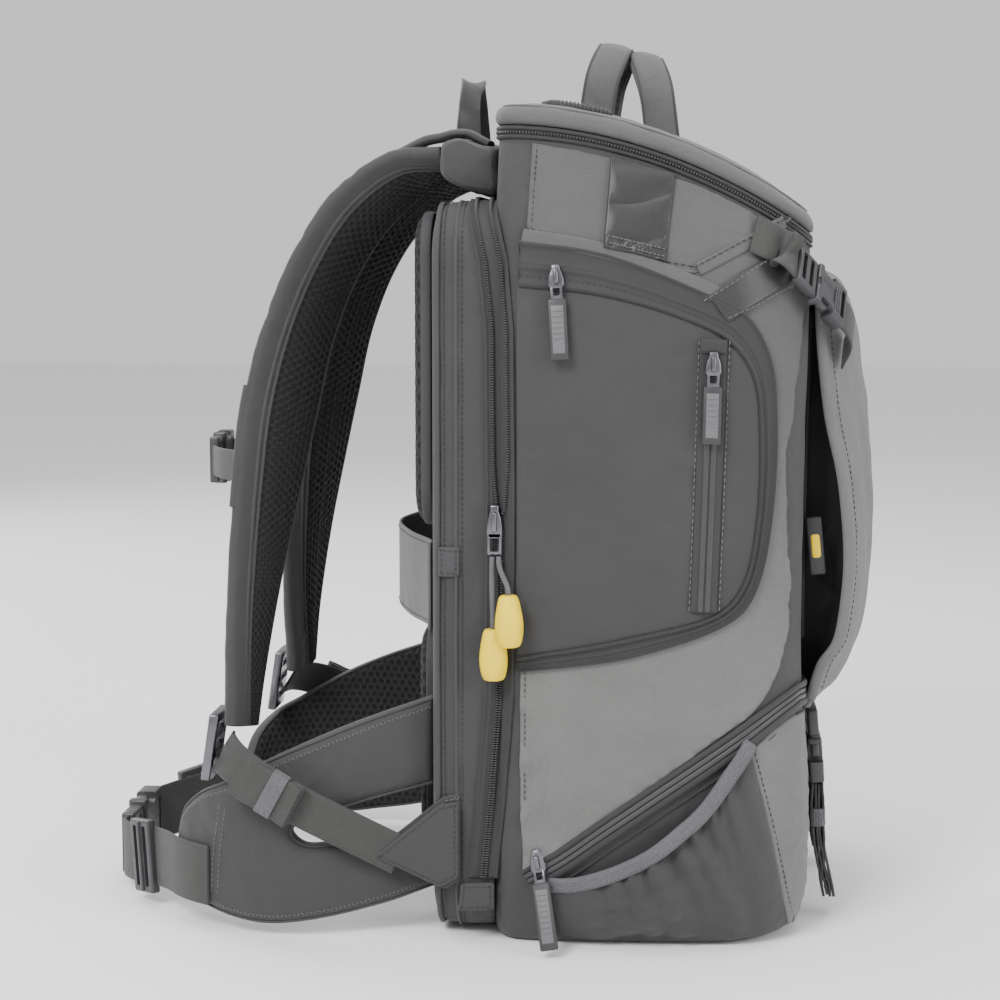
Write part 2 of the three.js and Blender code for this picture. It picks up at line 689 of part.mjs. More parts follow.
// Shoulder straps. y is measured outwards from the middle; lean turns the lining to the left side.
const STRAP_ROWS = [
  { x: -29, y: 76, z: 472, lean: 8, width: 60 },
  { x: -52, y: 76, z: 466, lean: 19, width: 64 },
  { x: -80, y: 78, z: 444, lean: 24, width: 66 },
  { x: -101, y: 80, z: 413, lean: 25, width: 66 },
  { x: -119, y: 82, z: 370, lean: 27, width: 66 },
  { x: -131, y: 84, z: 322, lean: 29, width: 66 },
  { x: -139, y: 87, z: 275, lean: 24, width: 64 },
  { x: -146, y: 92, z: 225, lean: 17, width: 60 },
  { x: -151, y: 98, z: 175, lean: 10, width: 54 },
  { x: -154, y: 106, z: 124, lean: 5, width: 38 },
];

function shoulderStrap(side) {
  const points = STRAP_ROWS.map(({ x, y, z }) => V(x, side * y, z));
  return strip(points, 27, (t, along) => {
    const { lean, width } = rowAt(STRAP_ROWS, t);
    const turn = THREE.MathUtils.degToRad(lean);
    const inward = along.clone().cross(V(0, 1, 0)).normalize();
    const across = V(0, Math.cos(turn), 0).addScaledVector(inward, Math.sin(turn));
    return { width, thick: STRAP_THICK, across, soft: 0.3 };
  });
}

function yoke() {
  const out = JOINT_X - YOKE_REACH;
  const outline = outlineOf([
    [JOINT_X - GAP, YOKE_LOW],
    [JOINT_X - GAP, YOKE_HIGH - 5],
    [out + 12, YOKE_HIGH + 1],
    [out, YOKE_HIGH - 2],
    [out, YOKE_LOW + 12],
    [out + 10, YOKE_LOW + 4],
  ]);
  return surface(prism(outline, -YOKE_HALF_WIDTH, YOKE_HALF_WIDTH));
}

function haulLoop() {
  const x = JOINT_X - YOKE_REACH + 9;
  const foot = YOKE_HIGH + 1 + 2 * GAP;
  const half = [
    V(x, -HAUL_HALF_SPAN - 5, foot + WEB_THICK / 2),
    V(x, -HAUL_HALF_SPAN, foot + WEB_THICK / 2),
    V(x, -0.75 * HAUL_HALF_SPAN, mix(foot, HAUL_HIGH, 0.6)),
    V(x, -0.3 * HAUL_HALF_SPAN, mix(foot, HAUL_HIGH, 0.96)),
  ];
  const other = half.map((p) => V(p.x, -p.y, p.z)).reverse();
  return webbing([...half, ...other], 18, V(1, 0, 0), HAUL_WEB);
}

function loadLifter() {
  const y = -88;
  const arch = [[2, -2], [-12, 7], [-30, 11.5], [-42, 7], [-52, -1]];
  return webbing(arch.map(([x, z]) => V(x, y, YOKE_HIGH + z)), 8, V(0, 1, 0), LIFTER_WEB);
}

// Chest strap: a webbing on each shoulder strap and a buckle between
const CHEST_BUCKLE_X = -186;

const CHEST_ROUTE_LEFT = [
  [-148, -84],
  [-156, -70],
  [-176, -44],
];
const CHEST_ROUTE_RIGHT = [
  [-152.5, 82],
  [-162.5, 60],
  [-176, 40],
];

function chestStrap(route, side) {
  const end = V(CHEST_BUCKLE_X, side * (CHEST_BUCKLE_LONG / 2 + 2 * GAP), CHEST_HEIGHT);
  return webbing([...route.map(([x, y]) => V(x, y, CHEST_HEIGHT)), end], 8, UP, CHEST_WEB);
}

function chestBuckle() {
  const piece = sideRelease(CHEST_BUCKLE_LONG, CHEST_BUCKLE_WIDE, BUCKLE_THICK);
  return placed(piece, V(CHEST_BUCKLE_X, 0, CHEST_HEIGHT), V(0, 1, 0), V(-1, 0, 0));
}

// Hip belt: a padded wing with two branches that leave the back of the bag
const WING_PLAN = [
  [REAR_X + 10, -120],
  [-70, -130],
  [-110, -138],
  [-150, -133],
  [-180, -115],
  [-194, -97],
];
const WING_EDGE = [
  [REAR_X - GAP, 147],
  [-61, 137],
  [-91, 126],
  [-125, 111],
  [-156, 94],
  [-174, 84],
  [-187, 68],
  [-191, 28],
  [-184, 20],
  [-170, 15],
  [-134, 9],
  [-97, 13],
  [-60, 21],
  [REAR_X - GAP, 31],
];
const WING_VENT = [
  [-15, 98],
  [-60, 88],
  [-82, 82],
  [-108, 75],
  [-116, 66],
  [-108, 58],
  [-84, 58],
  [-54, 56],
  [-15, 53],
];

function wingPoints(stand, z) {
  const plan = WING_PLAN.map(([x, y]) => V(x, y, z));
  return plan.map((p, i) => {
    const along = (plan[i + 1] ?? p).clone().sub(plan[i - 1] ?? p).normalize();
    return p.clone().addScaledVector(along.cross(UP).negate(), stand);
  });
}

function hipWing() {
  const tall = 180;
  const slab = strip(wingPoints(0, tall / 2), 20, () => ({ width: tall, thick: BELT_PAD, across: UP }));
  const kept = prism(outlineOf(WING_EDGE), LEFT_OF_BAG, -50);
  const vent = prism(outlineOf(WING_VENT), LEFT_OF_BAG - 9, -40);
  return surface(solid(slab).intersect(kept).subtract(vent));
}

function beltWebbing() {
  const sewn = wingPoints(BELT_PAD / 2 + 5 * GAP + WEB_THICK / 2, 35).slice(-2);
  const end = [8, 3 * GAP].map((beyond) => V(BELT_BUCKLE_X, -BELT_BUCKLE_LONG / 2 - beyond, BELT_BUCKLE_Z));
  const points = [...sewn, V(-218, -76, 31), V(-236, -57, 28), ...end];
  return webbing(points, 12, UP, BELT_WEB);
}

function beltBuckle() {
  const piece = sideRelease(BELT_BUCKLE_LONG, BELT_BUCKLE_WIDE, BELT_BUCKLE_THICK);
  return placed(piece, V(BELT_BUCKLE_X, 0, BELT_BUCKLE_Z), V(0, 1, 0), V(-1, 0, 0));
}

// Where a shoulder strap ends: a ladder lock, webbing to the corner of the bag, its folded tail
const LADDER_LOCK_AT = V(-169.1, -108, 113);

function ladderLock() {
  const part = (x0, x1, y, thick) => solid(block(V(x0, -y, -thick), V(x1, y, thick)));
  const [half, wide] = [LADDER_LOCK_TALL / 2, LADDER_LOCK_WIDE / 2];
  const frame = part(-half, half, wide, 3);
  const slots = [-0.62, -0.12, 0.5].map((share) => part(share * half - 3, share * half + 3, wide - 4, 9));
  const cut = slots.reduce((rest, slot) => rest.subtract(slot), frame);
  return placed(surface(cut), LADDER_LOCK_AT, V(-0.15, 0, -1), V(-1, 0, 0));
}

const LOWER_STRAP_ROUTE = [
  V(-162.3, -113, 111),
  V(-158.5, -126, 110.5),
  V(-150, -139, 107),
  V(-132, -150, 98),
  V(-110, -153, 86),
  V(-80, -149, 70),
  V(-48, -143, 53),
];

function lowerStrap() {
  return strip(LOWER_STRAP_ROUTE, 14, (t) => {
    const across = V(0.45, mix(0.5, 0, Math.min(1, 4 * t)), 0.9);
    return { width: WEB, thick: WEB_THICK, across };
  });
}

function cornerTab() {
  const outline = outlineOf([
    [-66, 54],
    [-22, 90],
    [-12, 92],
    [-12, 38],
    [-22, 32],
  ]);
  return surface(prism(outline, -REAR_HALF_WIDTH - GAP - CLOTH, -REAR_HALF_WIDTH - GAP));
}

function strapTail() {
  const stand = V(0, -BUNDLE_THICK / 2 - WEB_THICK / 2 - 4 * GAP, 0);
  const points = LOWER_STRAP_ROUTE.slice(3, 5).map((p) => p.clone().add(stand));
  points.unshift(V(-145, points[0].y + 4, 105));
  return strip(points, 5, () => ({ width: WEB + 2, thick: BUNDLE_THICK, across: V(0.5, 0, 0.85), soft: 0.3 }));
}

// Pulls: a slider that lies flat, and a tab that hangs from it
function zipPull({ at, out }, hang, long = PULL_LONG) {
  const flat = hang.clone().addScaledVector(out, -hang.dot(out)).normalize();
  const half = V(SLIDER_LONG, SLIDER_WIDE, SLIDER_THICK).multiplyScalar(0.5);
  const slider = placed(block(half.clone().negate(), half), at, flat, out);
  const eye = at.clone().addScaledVector(flat, SLIDER_LONG / 2 - 2).addScaledVector(out, SLIDER_THICK / 2 - 1);
  const ring = placed(block(V(-1, -3.5, -1), V(9, 3.5, 1)), eye, hang, out);
  const tab = placed(block(V(8, -PULL_WIDE / 2, -PULL_THICK / 2), V(8 + long, PULL_WIDE / 2, PULL_THICK / 2)), eye, hang, out);
  return surface(solid(slider).add(solid(ring)).add(solid(tab)));
}

function doorPull() {
  return zipPull(seat(46, 402, 3 * GAP + CLOTH + SLIDER_THICK / 2), V(0.06, -0.14, -1).normalize());
}

function lowPull() {
  return zipPull(seat(36, 54, 2 * GAP + SLIDER_THICK / 2), V(0.16, -0.36, -0.92).normalize(), LOW_PULL_LONG);
}

const MAIN_SLIDER_AT = V(9.5, -REAR_HALF_WIDTH - CLOTH - SLIDER_THICK / 2 - 4 * GAP, 256);

function mainSlider() {
  const part = (x0, x1, y, z0, z1) => solid(block(V(x0, -y, z0), V(x1, y, z1)));
  const body = part(-8, 12, SLIDER_WIDE / 2, -SLIDER_THICK / 2, SLIDER_THICK / 2);
  const bail = part(-18, -6, 4.5, 0, 2.5);
  return placed(surface(body.add(bail)), MAIN_SLIDER_AT, UP, V(0, -1, 0));
}

// Pull cords of the main zip, each with a barrel toggle. scene.py draws them along the same routes.
// Places are given from the middle of the slider.
const fromSlider = (places) => places.map((place) => V(...place).add(MAIN_SLIDER_AT));
const CORD_ONE = fromSlider([
  [2.5, -3.1, -18.6],
  [2.8, -4.5, -21.7],
  [3.5, -6.9, -24.2],
  [4.5, -9.5, -26.4],
  [5.7, -12.2, -28.5],
  [7, -14.7, -30.5],
  [8.2, -16.6, -32.6],
  [9.1, -17.9, -34.8],
  [9.6, -18.3, -37.2],
  [9.7, -18.3, -41],
  [9.84, -18.3, -46],
  [9.98, -18.3, -51],
  [10.12, -18.3, -56],
  [10.26, -18.3, -61],
  [10.4, -18.3, -66],
]);
const CORD_TWO = fromSlider([
  [-1.3, -3.1, -18.6],
  [-1.3, -3.7, -23],
  [-1.3, -4.3, -26.5],
  [-1.3, -5, -30],
  [-1.2, -5.7, -34],
  [-1.1, -6.3, -38],
  [-0.9, -6.8, -43],
  [-0.7, -7.1, -48],
  [-0.5, -7.3, -53],
  [-0.45, -7.3, -57],
  [-0.4, -7.3, -60.5],
  [-0.3, -7.3, -66],
  [-0.2, -7.3, -72],
  [-0.1, -7.3, -78],
  [0, -7.3, -84],
  [0.07, -7.3, -88],
]);

function zipCord(route) {
  const round = { width: CORD_DIAMETER, thick: CORD_DIAMETER, across: V(1, 0, 0), soft: 0.29 };
  return strip(route, 24, () => round);
}

function toggle(route) {
  const [end, start] = [route.at(-1), route.at(-5)];
  const down = end.clone().sub(start).normalize();
  const half = TOGGLE_LONG / 2;
  const profile = [
    [TOGGLE_BORE, -half],
    [0.6 * TOGGLE_RADIUS, -half],
    [0.94 * TOGGLE_RADIUS, -0.5 * half],
    [TOGGLE_RADIUS, 0],
    [0.9 * TOGGLE_RADIUS, 0.5 * half],
    [0.72 * TOGGLE_RADIUS, half],
    [TOGGLE_BORE, half],
    [TOGGLE_BORE, -half],
  ];
  const barrel = new THREE.LatheGeometry(profile.map(([r, y]) => new THREE.Vector2(r, y)), 12);
  return placed(barrel.rotateZ(-Math.PI / 2), end.clone().addScaledVector(down, 4 - half), down, V(0, -1, 0));
}

const bag = new THREE.Group();

function put(name, geometry, material, mirrored = false) {
  geometry.computeVertexNormals();
  const mesh = new THREE.Mesh(geometry, material);
  mesh.name = name;
  if (mirrored) mesh.scale.y = -1;
  bag.add(mesh);
  return mesh;
}

function putPair(name, geometry, material) {
  put(name + "_left", geometry, material);
  put(name + "_right", geometry.clone(), material, true);
}

put("main_shell", mainShell(), materials.dark);
put("rear_section", rearSection(), materials.dark);
put("main_zip", mainZip(), materials.tape);
put("lid_zip", lidZip(), materials.tape);
put("top_lid", surface(lidSolid(0)), materials.light);
put("top_handle", topHandle(), materials.light);
putPair("side_door", sideDoor(), materials.dark);
putPair("door_zip", doorZip(), materials.tape);
putPair("stretch_pocket", stretchPocket(), materials.dark);
put("front_flap", frontFlap(), materials.light);
putPair("flap_buckle", flapBuckle(), materials.plastic);
putPair("flap_strap", flapStrap(), materials.webbing);
putPair("flap_tab", flapTab(), materials.webbing);
putPair("front_strap", frontStrap(), materials.webbing);
putPair("front_buckle", frontBuckle(), materials.plastic);
putPair("front_tail", frontTail(), materials.webbing);
putPair("back_pad", backPad(), materials.mesh);
put("lumbar_pad", lumbarPad(), materials.mesh);
put("luggage_sleeve", luggageSleeve(), materials.light);
put("shoulder_strap_left", shoulderStrap(-1), materials.dark);
put("shoulder_strap_right", shoulderStrap(1), materials.dark);
put("strap_yoke", yoke(), materials.dark);
put("haul_loop", haulLoop(), materials.webbing);
putPair("load_lifter", loadLifter(), materials.webbing);
put("chest_strap_left", chestStrap(CHEST_ROUTE_LEFT, -1), materials.webbing);
put("chest_strap_right", chestStrap(CHEST_ROUTE_RIGHT, 1), materials.webbing);
put("chest_buckle", chestBuckle(), materials.plastic);
putPair("hip_wing", hipWing(), materials.dark);
putPair("belt_webbing", beltWebbing(), materials.webbing);
put("belt_buckle", beltBuckle(), materials.plastic);
putPair("ladder_lock", ladderLock(), materials.metal);
putPair("lower_strap", lowerStrap(), materials.webbing);
putPair("corner_tab", cornerTab(), materials.dark);
putPair("strap_tail", strapTail(), materials.webbing);
putPair("door_pull", doorPull(), materials.dark);
putPair("low_pull", lowPull(), materials.dark);
put("main_slider", mainSlider(), materials.metal);

// The origin is under the middle of the bag, measured without what hangs on its zip cords
bag.updateMatrixWorld(true);
const box = new THREE.Box3().setFromObject(bag, true);
bag.position.set(-(box.min.x + box.max.x) / 2, -(box.min.y + box.max.y) / 2, -box.min.z);

put("zip_cord_1", zipCord(CORD_ONE), materials.light);
put("zip_cord_2", zipCord(CORD_TWO), materials.light);
put("toggle_1", toggle(CORD_ONE), materials.yellow);
put("toggle_2", toggle(CORD_TWO), materials.yellow);

export default bag;
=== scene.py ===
import math

import bmesh
import bpy
import numpy as np
from mathutils import Matrix, Vector
from mathutils.geometry import delaunay_2d_cdt


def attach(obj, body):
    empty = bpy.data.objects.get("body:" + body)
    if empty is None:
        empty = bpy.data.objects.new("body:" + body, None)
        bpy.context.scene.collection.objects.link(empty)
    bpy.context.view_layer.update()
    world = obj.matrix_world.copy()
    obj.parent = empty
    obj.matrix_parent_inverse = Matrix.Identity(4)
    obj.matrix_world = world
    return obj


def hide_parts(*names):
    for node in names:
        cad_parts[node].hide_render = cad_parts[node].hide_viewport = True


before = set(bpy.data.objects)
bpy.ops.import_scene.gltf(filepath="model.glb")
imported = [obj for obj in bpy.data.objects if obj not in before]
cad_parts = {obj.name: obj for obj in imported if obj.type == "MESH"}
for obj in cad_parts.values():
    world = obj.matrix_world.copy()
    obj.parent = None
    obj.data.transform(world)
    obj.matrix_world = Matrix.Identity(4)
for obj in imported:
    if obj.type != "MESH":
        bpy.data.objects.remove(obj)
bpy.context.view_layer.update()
bpy.ops.object.select_all(action="DESELECT")

# Driving sizes, as in the part's source
SHIFT = np.array([4.825, 0.0, 0.0])  # from the bag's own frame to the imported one
MM = 0.001
BAG_HEIGHT = 484.0
RIM_DROP = 65.0
BAG_DEPTH = 190.0
BAG_HALF_WIDTH = 145.0
BAG_BACK = 8.3
FRONT_CORNER = 46.0
BACK_CORNER = 14.0
SIDE_SWELL = 0.04
REAR_BACK = -30.0
REAR_LOW = 2.0
REAR_HIGH = 447.0
REAR_HALF_WIDTH = 139.0
REAR_CORNER = 36.0
LID_BAND = 8.3
LID_THICK = 12.0
LID_CROWN = 5.0
WEB = 25.0
WEB_THICK = 1.8
UP = np.array([0.0, 0.0, 1.0])
LEFT = np.array([0.0, -1.0, 0.0])
FORWARD = np.array([1.0, 0.0, 0.0])


def metres(points):
    return (np.asarray(points, float) + SHIFT) * MM


# The camera stands where the photograph was taken from, and the pull cords come next

CAMERA_TARGET = Vector(metres([0, 0, 255]))
CAMERA_TURN = math.radians(5.0)
CAMERA_RISE = math.radians(6.3)
CAMERA_DISTANCE = 1.45
CAMERA_SENSOR = 36.0
CAMERA_LENS = 2.2 * CAMERA_SENSOR


def place_camera():
    data = bpy.data.cameras.new("photo_camera")
    data.lens = CAMERA_LENS
    data.sensor_width = CAMERA_SENSOR
    camera = bpy.data.objects.new("photo_camera", data)
    bpy.context.scene.collection.objects.link(camera)
    flat = math.cos(CAMERA_RISE)
    back = Vector((math.sin(CAMERA_TURN) * flat, -math.cos(CAMERA_TURN) * flat, math.sin(CAMERA_RISE)))
    camera.location = CAMERA_TARGET + back * CAMERA_DISTANCE
    camera.rotation_mode = "QUATERNION"
    camera.rotation_quaternion = (-back).to_track_quat("-Z", "Y")
    bpy.context.scene.camera = camera


place_camera()

# Splines and rails


def unit(vectors):
    vectors = np.asarray(vectors, float)
    return vectors / np.maximum(np.linalg.norm(vectors, axis=-1, keepdims=True), 1e-12)


def mix(a, b, t):
    return a + (b - a) * t


def spline(points, closed=False, per=14):
    """A smooth line through the points; further columns after the place are carried along."""
    p = np.asarray(points, float)
    if closed:
        q = np.vstack([p[-1:], p, p[:2]])
    else:
        q = np.vstack([2 * p[:1] - p[1:2], p, 2 * p[-1:] - p[-2:-1]])
    chord = np.linalg.norm(np.diff(q[:, :3], axis=0), axis=1)
    t = np.concatenate([[0], np.cumsum(np.sqrt(chord) + 1e-9)])
    rows = []
    for k in range(1, len(q) - 2):
        t0, t1, t2, t3 = t[k - 1 : k + 3]
        p0, p1, p2, p3 = q[k - 1 : k + 3]
        s = np.linspace(t1, t2, per, endpoint=False)[:, None]
        a1 = (t1 - s) / (t1 - t0) * p0 + (s - t0) / (t1 - t0) * p1
        a2 = (t2 - s) / (t2 - t1) * p1 + (s - t1) / (t2 - t1) * p2
        a3 = (t3 - s) / (t3 - t2) * p2 + (s - t2) / (t3 - t2) * p3
        b1 = (t2 - s) / (t2 - t0) * a1 + (s - t0) / (t2 - t0) * a2
        b2 = (t3 - s) / (t3 - t1) * a2 + (s - t1) / (t3 - t1) * a3
        rows.append((t2 - s) / (t2 - t1) * b1 + (s - t1) / (t2 - t1) * b2)
    if not closed:
        rows.append(q[-2:-1])
    return np.vstack(rows)


def lengths(points):
    return np.concatenate([[0], np.cumsum(np.linalg.norm(np.diff(points[:, :3], axis=0), axis=1))])


def resampled(at, run, values):
    """Rows of values at given places of a run."""
    return np.stack([np.interp(at, run, values[:, k]) for k in range(values.shape[1])], axis=1)


def even(points, count=None, step=None, closed=False, straight=False):
    """Evenly spaced points along a smooth line, or along straight runs between the points."""
    p = np.asarray(points, float) if straight else spline(points, closed)
    if closed:
        p = np.vstack([p, p[:1]])
    along = lengths(p)
    if count is None:
        count = max(3, int(round(along[-1] / step)) + 1)
    s = np.linspace(0, along[-1], count + (1 if closed else 0))
    if closed:
        s = s[:-1]
    return resampled(s, along, p)


def rails(path, outs, closed=False):
    """Directions along a path, across it and out of it."""
    if closed:
        along = unit(np.roll(path, -1, axis=0) - np.roll(path, 1, axis=0))
    else:
        along = unit(np.gradient(path, axis=0))
    outs = np.broadcast_to(np.asarray(outs, float), path.shape)
    wide = unit(np.cross(outs, along))
    return along, wide, np.cross(along, wide)


def ripple(points, size, seed, octaves=2):
    """Smooth seeded noise between about -1 and 1, with bumps of the given size."""
    draw = np.random.RandomState(seed)
    points = np.asarray(points, float)
    total = np.zeros(points.shape[:-1])
    weight = 1.0
    for octave in range(octaves):
        waves = unit(draw.normal(size=(7, points.shape[-1]))) * (2 * math.pi / size) * 2**octave
        shifts = draw.uniform(0, 2 * math.pi, 7)
        bends = np.sin(points @ (waves.T * 0.43) + shifts[::-1])
        total += weight * np.sin(points @ waves.T + shifts + 1.3 * bends).mean(axis=-1) * 1.9
        weight *= 0.5
    return total


# Closed meshes from grids of points


class Part:
    """One closed body: points in millimetres, four- and three-sided faces and their cloth lengths."""

    def __init__(self, points, quads, quad_uv, tris=None, tri_uv=None, finish=0):
        self.points = np.asarray(points, float)
        self.quads = np.asarray(quads, int).reshape(-1, 4)
        self.quad_uv = np.asarray(quad_uv, float).reshape(-1, 4, 2)
        self.tris = np.zeros((0, 3), int) if tris is None else np.asarray(tris, int).reshape(-1, 3)
        self.tri_uv = np.zeros((0, 3, 2)) if tri_uv is None else np.asarray(tri_uv, float).reshape(-1, 3, 2)
        self.finish = finish

    def flipped(self):
        self.quads = self.quads[:, ::-1]
        self.quad_uv = self.quad_uv[:, ::-1]
        self.tris = self.tris[:, ::-1]
        self.tri_uv = self.tri_uv[:, ::-1]
        return self

    def outward(self):
        p = self.points
        q, t = self.quads, self.tris
        volume = np.einsum("ij,ij->i", p[q[:, 0]], np.cross(p[q[:, 1]], p[q[:, 2]])).sum()
        volume += np.einsum("ij,ij->i", p[q[:, 0]], np.cross(p[q[:, 2]], p[q[:, 3]])).sum()
        volume += np.einsum("ij,ij->i", p[t[:, 0]], np.cross(p[t[:, 1]], p[t[:, 2]])).sum()
        return self.flipped() if volume < 0 else self

    def mirrored(self):
        other = Part(self.points * [1, -1, 1], self.quads, self.quad_uv, self.tris, self.tri_uv, self.finish)
        return other.flipped()


def lattice(grid, loop_u=False, loop_v=False, caps=False, finish=0):
    """A grid of points as faces; caps close the two ends of a tube."""
    nu, nv = grid.shape[:2]
    du = np.linalg.norm(np.diff(grid, axis=0), axis=2).mean(axis=1)
    dv = np.linalg.norm(np.diff(grid, axis=1), axis=2).mean(axis=0)
    wrap_u = np.linalg.norm(grid[0] - grid[-1], axis=1).mean()
    wrap_v = np.linalg.norm(grid[:, 0] - grid[:, -1], axis=1).mean()
    u = np.concatenate([[0], np.cumsum(du), [du.sum() + wrap_u]]) * MM
    v = np.concatenate([[0], np.cumsum(dv), [dv.sum() + wrap_v]]) * MM
    i, j = np.meshgrid(
        np.arange(nu if loop_u else nu - 1), np.arange(nv if loop_v else nv - 1), indexing="ij"
    )
    i, j = i.ravel(), j.ravel()
    i2, j2 = (i + 1) % nu, (j + 1) % nv
    quads = np.stack([i * nv + j, i2 * nv + j, i2 * nv + j2, i * nv + j2], axis=1)
    uv = np.stack(
        [
            np.stack(c, axis=1)
            for c in ((u[i], v[j]), (u[i + 1], v[j]), (u[i + 1], v[j + 1]), (u[i], v[j + 1]))
        ], axis=1
    )
    points = grid.reshape(-1, 3)
    tris = tri_uv = None
    if caps:
        ends = np.stack([grid[0].mean(axis=0), grid[-1].mean(axis=0)])
        k = np.arange(nv)
        k2 = (k + 1) % nv
        last = (nu - 1) * nv
        tris = np.vstack(
            [
                np.stack([k, k2, np.full(nv, nu * nv)], axis=1),
                np.stack([last + k2, last + k, np.full(nv, nu * nv + 1)], axis=1),
            ]
        )
        points = np.vstack([points, ends])
        centre = v[-1] / 2
        first = np.stack(
            [np.stack([v[k] * 0, v[k]], 1), np.stack([v[k] * 0, v[k + 1]], 1), np.full((nv, 2), centre)], 1
        )
        tri_uv = np.vstack([first, first[:, [1, 0, 2]]])
    return Part(points, quads, uv, tris, tri_uv, finish).outward()


def sweep(path, outs, profile, loop=False, finish=0, across=None):
    """A closed outline of (across, out) places drawn along a path."""
    path = np.asarray(path, float)
    along, wide, out = rails(path, outs, loop)
    if across is not None:
        across = np.broadcast_to(np.asarray(across, float), path.shape)
        wide = unit(across - along * np.sum(across * along, axis=1, keepdims=True))
        out = np.cross(along, wide)
    profile = np.asarray(profile, float)
    if profile.ndim == 2:
        profile = np.broadcast_to(profile, (len(path), *profile.shape))
    grid = path[:, None] + wide[:, None] * profile[..., :1] + out[:, None] * profile[..., 1:2]
    return lattice(grid, loop, True, not loop, finish)


def rounded_band(width, thick, rows=8, shift=0.0):
    """Outline of webbing or tape: flat faces and round edges."""
    r = thick / 2
    flat = np.linspace(-width / 2 + r, width / 2 - r, rows)
    turn = np.linspace(-math.pi / 2, math.pi / 2, 5)[1:-1]
    right = np.stack([width / 2 - r + r * np.cos(turn), r * np.sin(turn)], axis=1)
    left = -right
    bottom = np.stack([flat, np.full(rows, -r)], axis=1)
    top = np.stack([flat[::-1], np.full(rows, r)], axis=1)
    return np.vstack([bottom, right, top, left]) + [0, shift]


def ring(radius, count=10, squash=1.0):
    turn = np.arange(count) * 2 * math.pi / count
    return np.stack([radius * np.cos(turn), radius * squash * np.sin(turn)], axis=1)


def build(name, parts, finishes, replaces=(), slot=None):
    """The parts as one object at the origin, riding on the root body."""
    points, loops, totals, uvs, marks = [], [], [], [], []
    start = 0
    for part in parts:
        points.append(part.points)
        for faces, uv in ((part.quads, part.quad_uv), (part.tris, part.tri_uv)):
            loops.append((faces + start).ravel())
            totals.append(np.full(len(faces), faces.shape[1]))
            uvs.append(uv.reshape(-1, 2))
            marks.append(
                np.full(len(faces), part.finish) if np.isscalar(part.finish) else part.finish[: len(faces)]
            )
        start += len(part.points)
    points, loops, totals = metres(np.vstack(points)), np.concatenate(loops), np.concatenate(totals)
    mesh = bpy.data.meshes.new(name)
    mesh.vertices.add(len(points))
    mesh.vertices.foreach_set("co", points.astype(np.float32).ravel())
    mesh.loops.add(len(loops))
    mesh.loops.foreach_set("vertex_index", loops.astype(np.int32))
    mesh.polygons.add(len(totals))
    starts = np.concatenate([[0], np.cumsum(totals)[:-1]])
    mesh.polygons.foreach_set("loop_start", starts.astype(np.int32))
    mesh.polygons.foreach_set("material_index", np.concatenate(marks).astype(np.int32))
    mesh.update(calc_edges=True)
    layer = mesh.uv_layers.new(name="cloth_length")
    layer.data.foreach_set("uv", np.vstack(uvs).astype(np.float32).ravel())
    mesh.validate()
    mesh.polygons.foreach_set("use_smooth", np.ones(len(mesh.polygons), bool))
    finishes = finishes if isinstance(finishes, (list, tuple)) else [finishes]
    for finish in finishes:
        mesh.materials.append(finish)
    piece = bpy.data.objects.new(name, mesh)
    bpy.context.scene.collection.objects.link(piece)
    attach(piece, "root")
    if replaces:
        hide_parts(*replaces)
    slot = slot or SLOT_OF.get(finishes[0].name)
    return piece


def build_pair(name, parts, finishes, replaces=(), slot=None):
    """A left piece and its mirrored right one."""
    made = []
    for side, own in (("left", parts), ("right", [p.mirrored() for p in parts])):
        nodes = [n + "_" + side for n in replaces]
        made.append(build(name + "_" + side, own, finishes, nodes, slot))
    return made


# Shader node groups: each puts out heights and masks only

def node(tree, kind, links=None, **settings):
    made = tree.nodes.new(kind)
    for key, value in settings.items():
        setattr(made, key, value)
    for key, value in (links or {}).items():
        if isinstance(value, bpy.types.NodeSocket):
            tree.links.new(value, made.inputs[key])
        else:
            made.inputs[key].default_value = value
    return made


def maths(tree, operation, first, second=0.0, third=None):
    links = {0: first, 1: second}
    if third is not None:
        links[2] = third
    return node(tree, "ShaderNodeMath", links, operation=operation).outputs[0]


def spread(tree, value, low, high, start=0.0, end=1.0, kind="LINEAR"):
    """The range of a value from low to high, spread over start to end."""
    links = {0: value, 1: low, 2: high, 3: start, 4: end}
    return node(tree, "ShaderNodeMapRange", links, interpolation_type=kind).outputs[0]


def noise(tree, place, **values):
    settings = {key.title(): value for key, value in values.items()}
    return node(tree, "ShaderNodeTexNoise", {"Vector": place, **settings}).outputs[0]


def vector_maths(tree, operation, first, second):
    return node(tree, "ShaderNodeVectorMath", {0: first, 1: second}, operation=operation).outputs[0]


def scaled_by(tree, place, scale):
    return node(tree, "ShaderNodeVectorMath", {0: place, "Scale": scale}, operation="SCALE").outputs[0]


def bumped(tree, height, strength, distance, under=None):
    """A normal with the given relief, over the relief under it."""
    links = {"Height": height, "Strength": strength, "Distance": distance}
    if under is not None:
        links["Normal"] = under
    return node(tree, "ShaderNodeBump", links).outputs[0]


def group(name, inputs, outputs):
    """An empty node group with its inputs (name, value or None for a vector) and its outputs."""
    tree = bpy.data.node_groups.new(name, "ShaderNodeTree")
    for title, value in inputs:
        kind = "NodeSocketVector" if value is None else "NodeSocketFloat"
        socket = tree.interface.new_socket(title, in_out="INPUT", socket_type=kind)
        if value is not None:
            socket.default_value = value
    for title in outputs:
        tree.interface.new_socket(title, in_out="OUTPUT", socket_type="NodeSocketFloat")
    return tree, tree.nodes.new("NodeGroupInput").outputs, tree.nodes.new("NodeGroupOutput").inputs


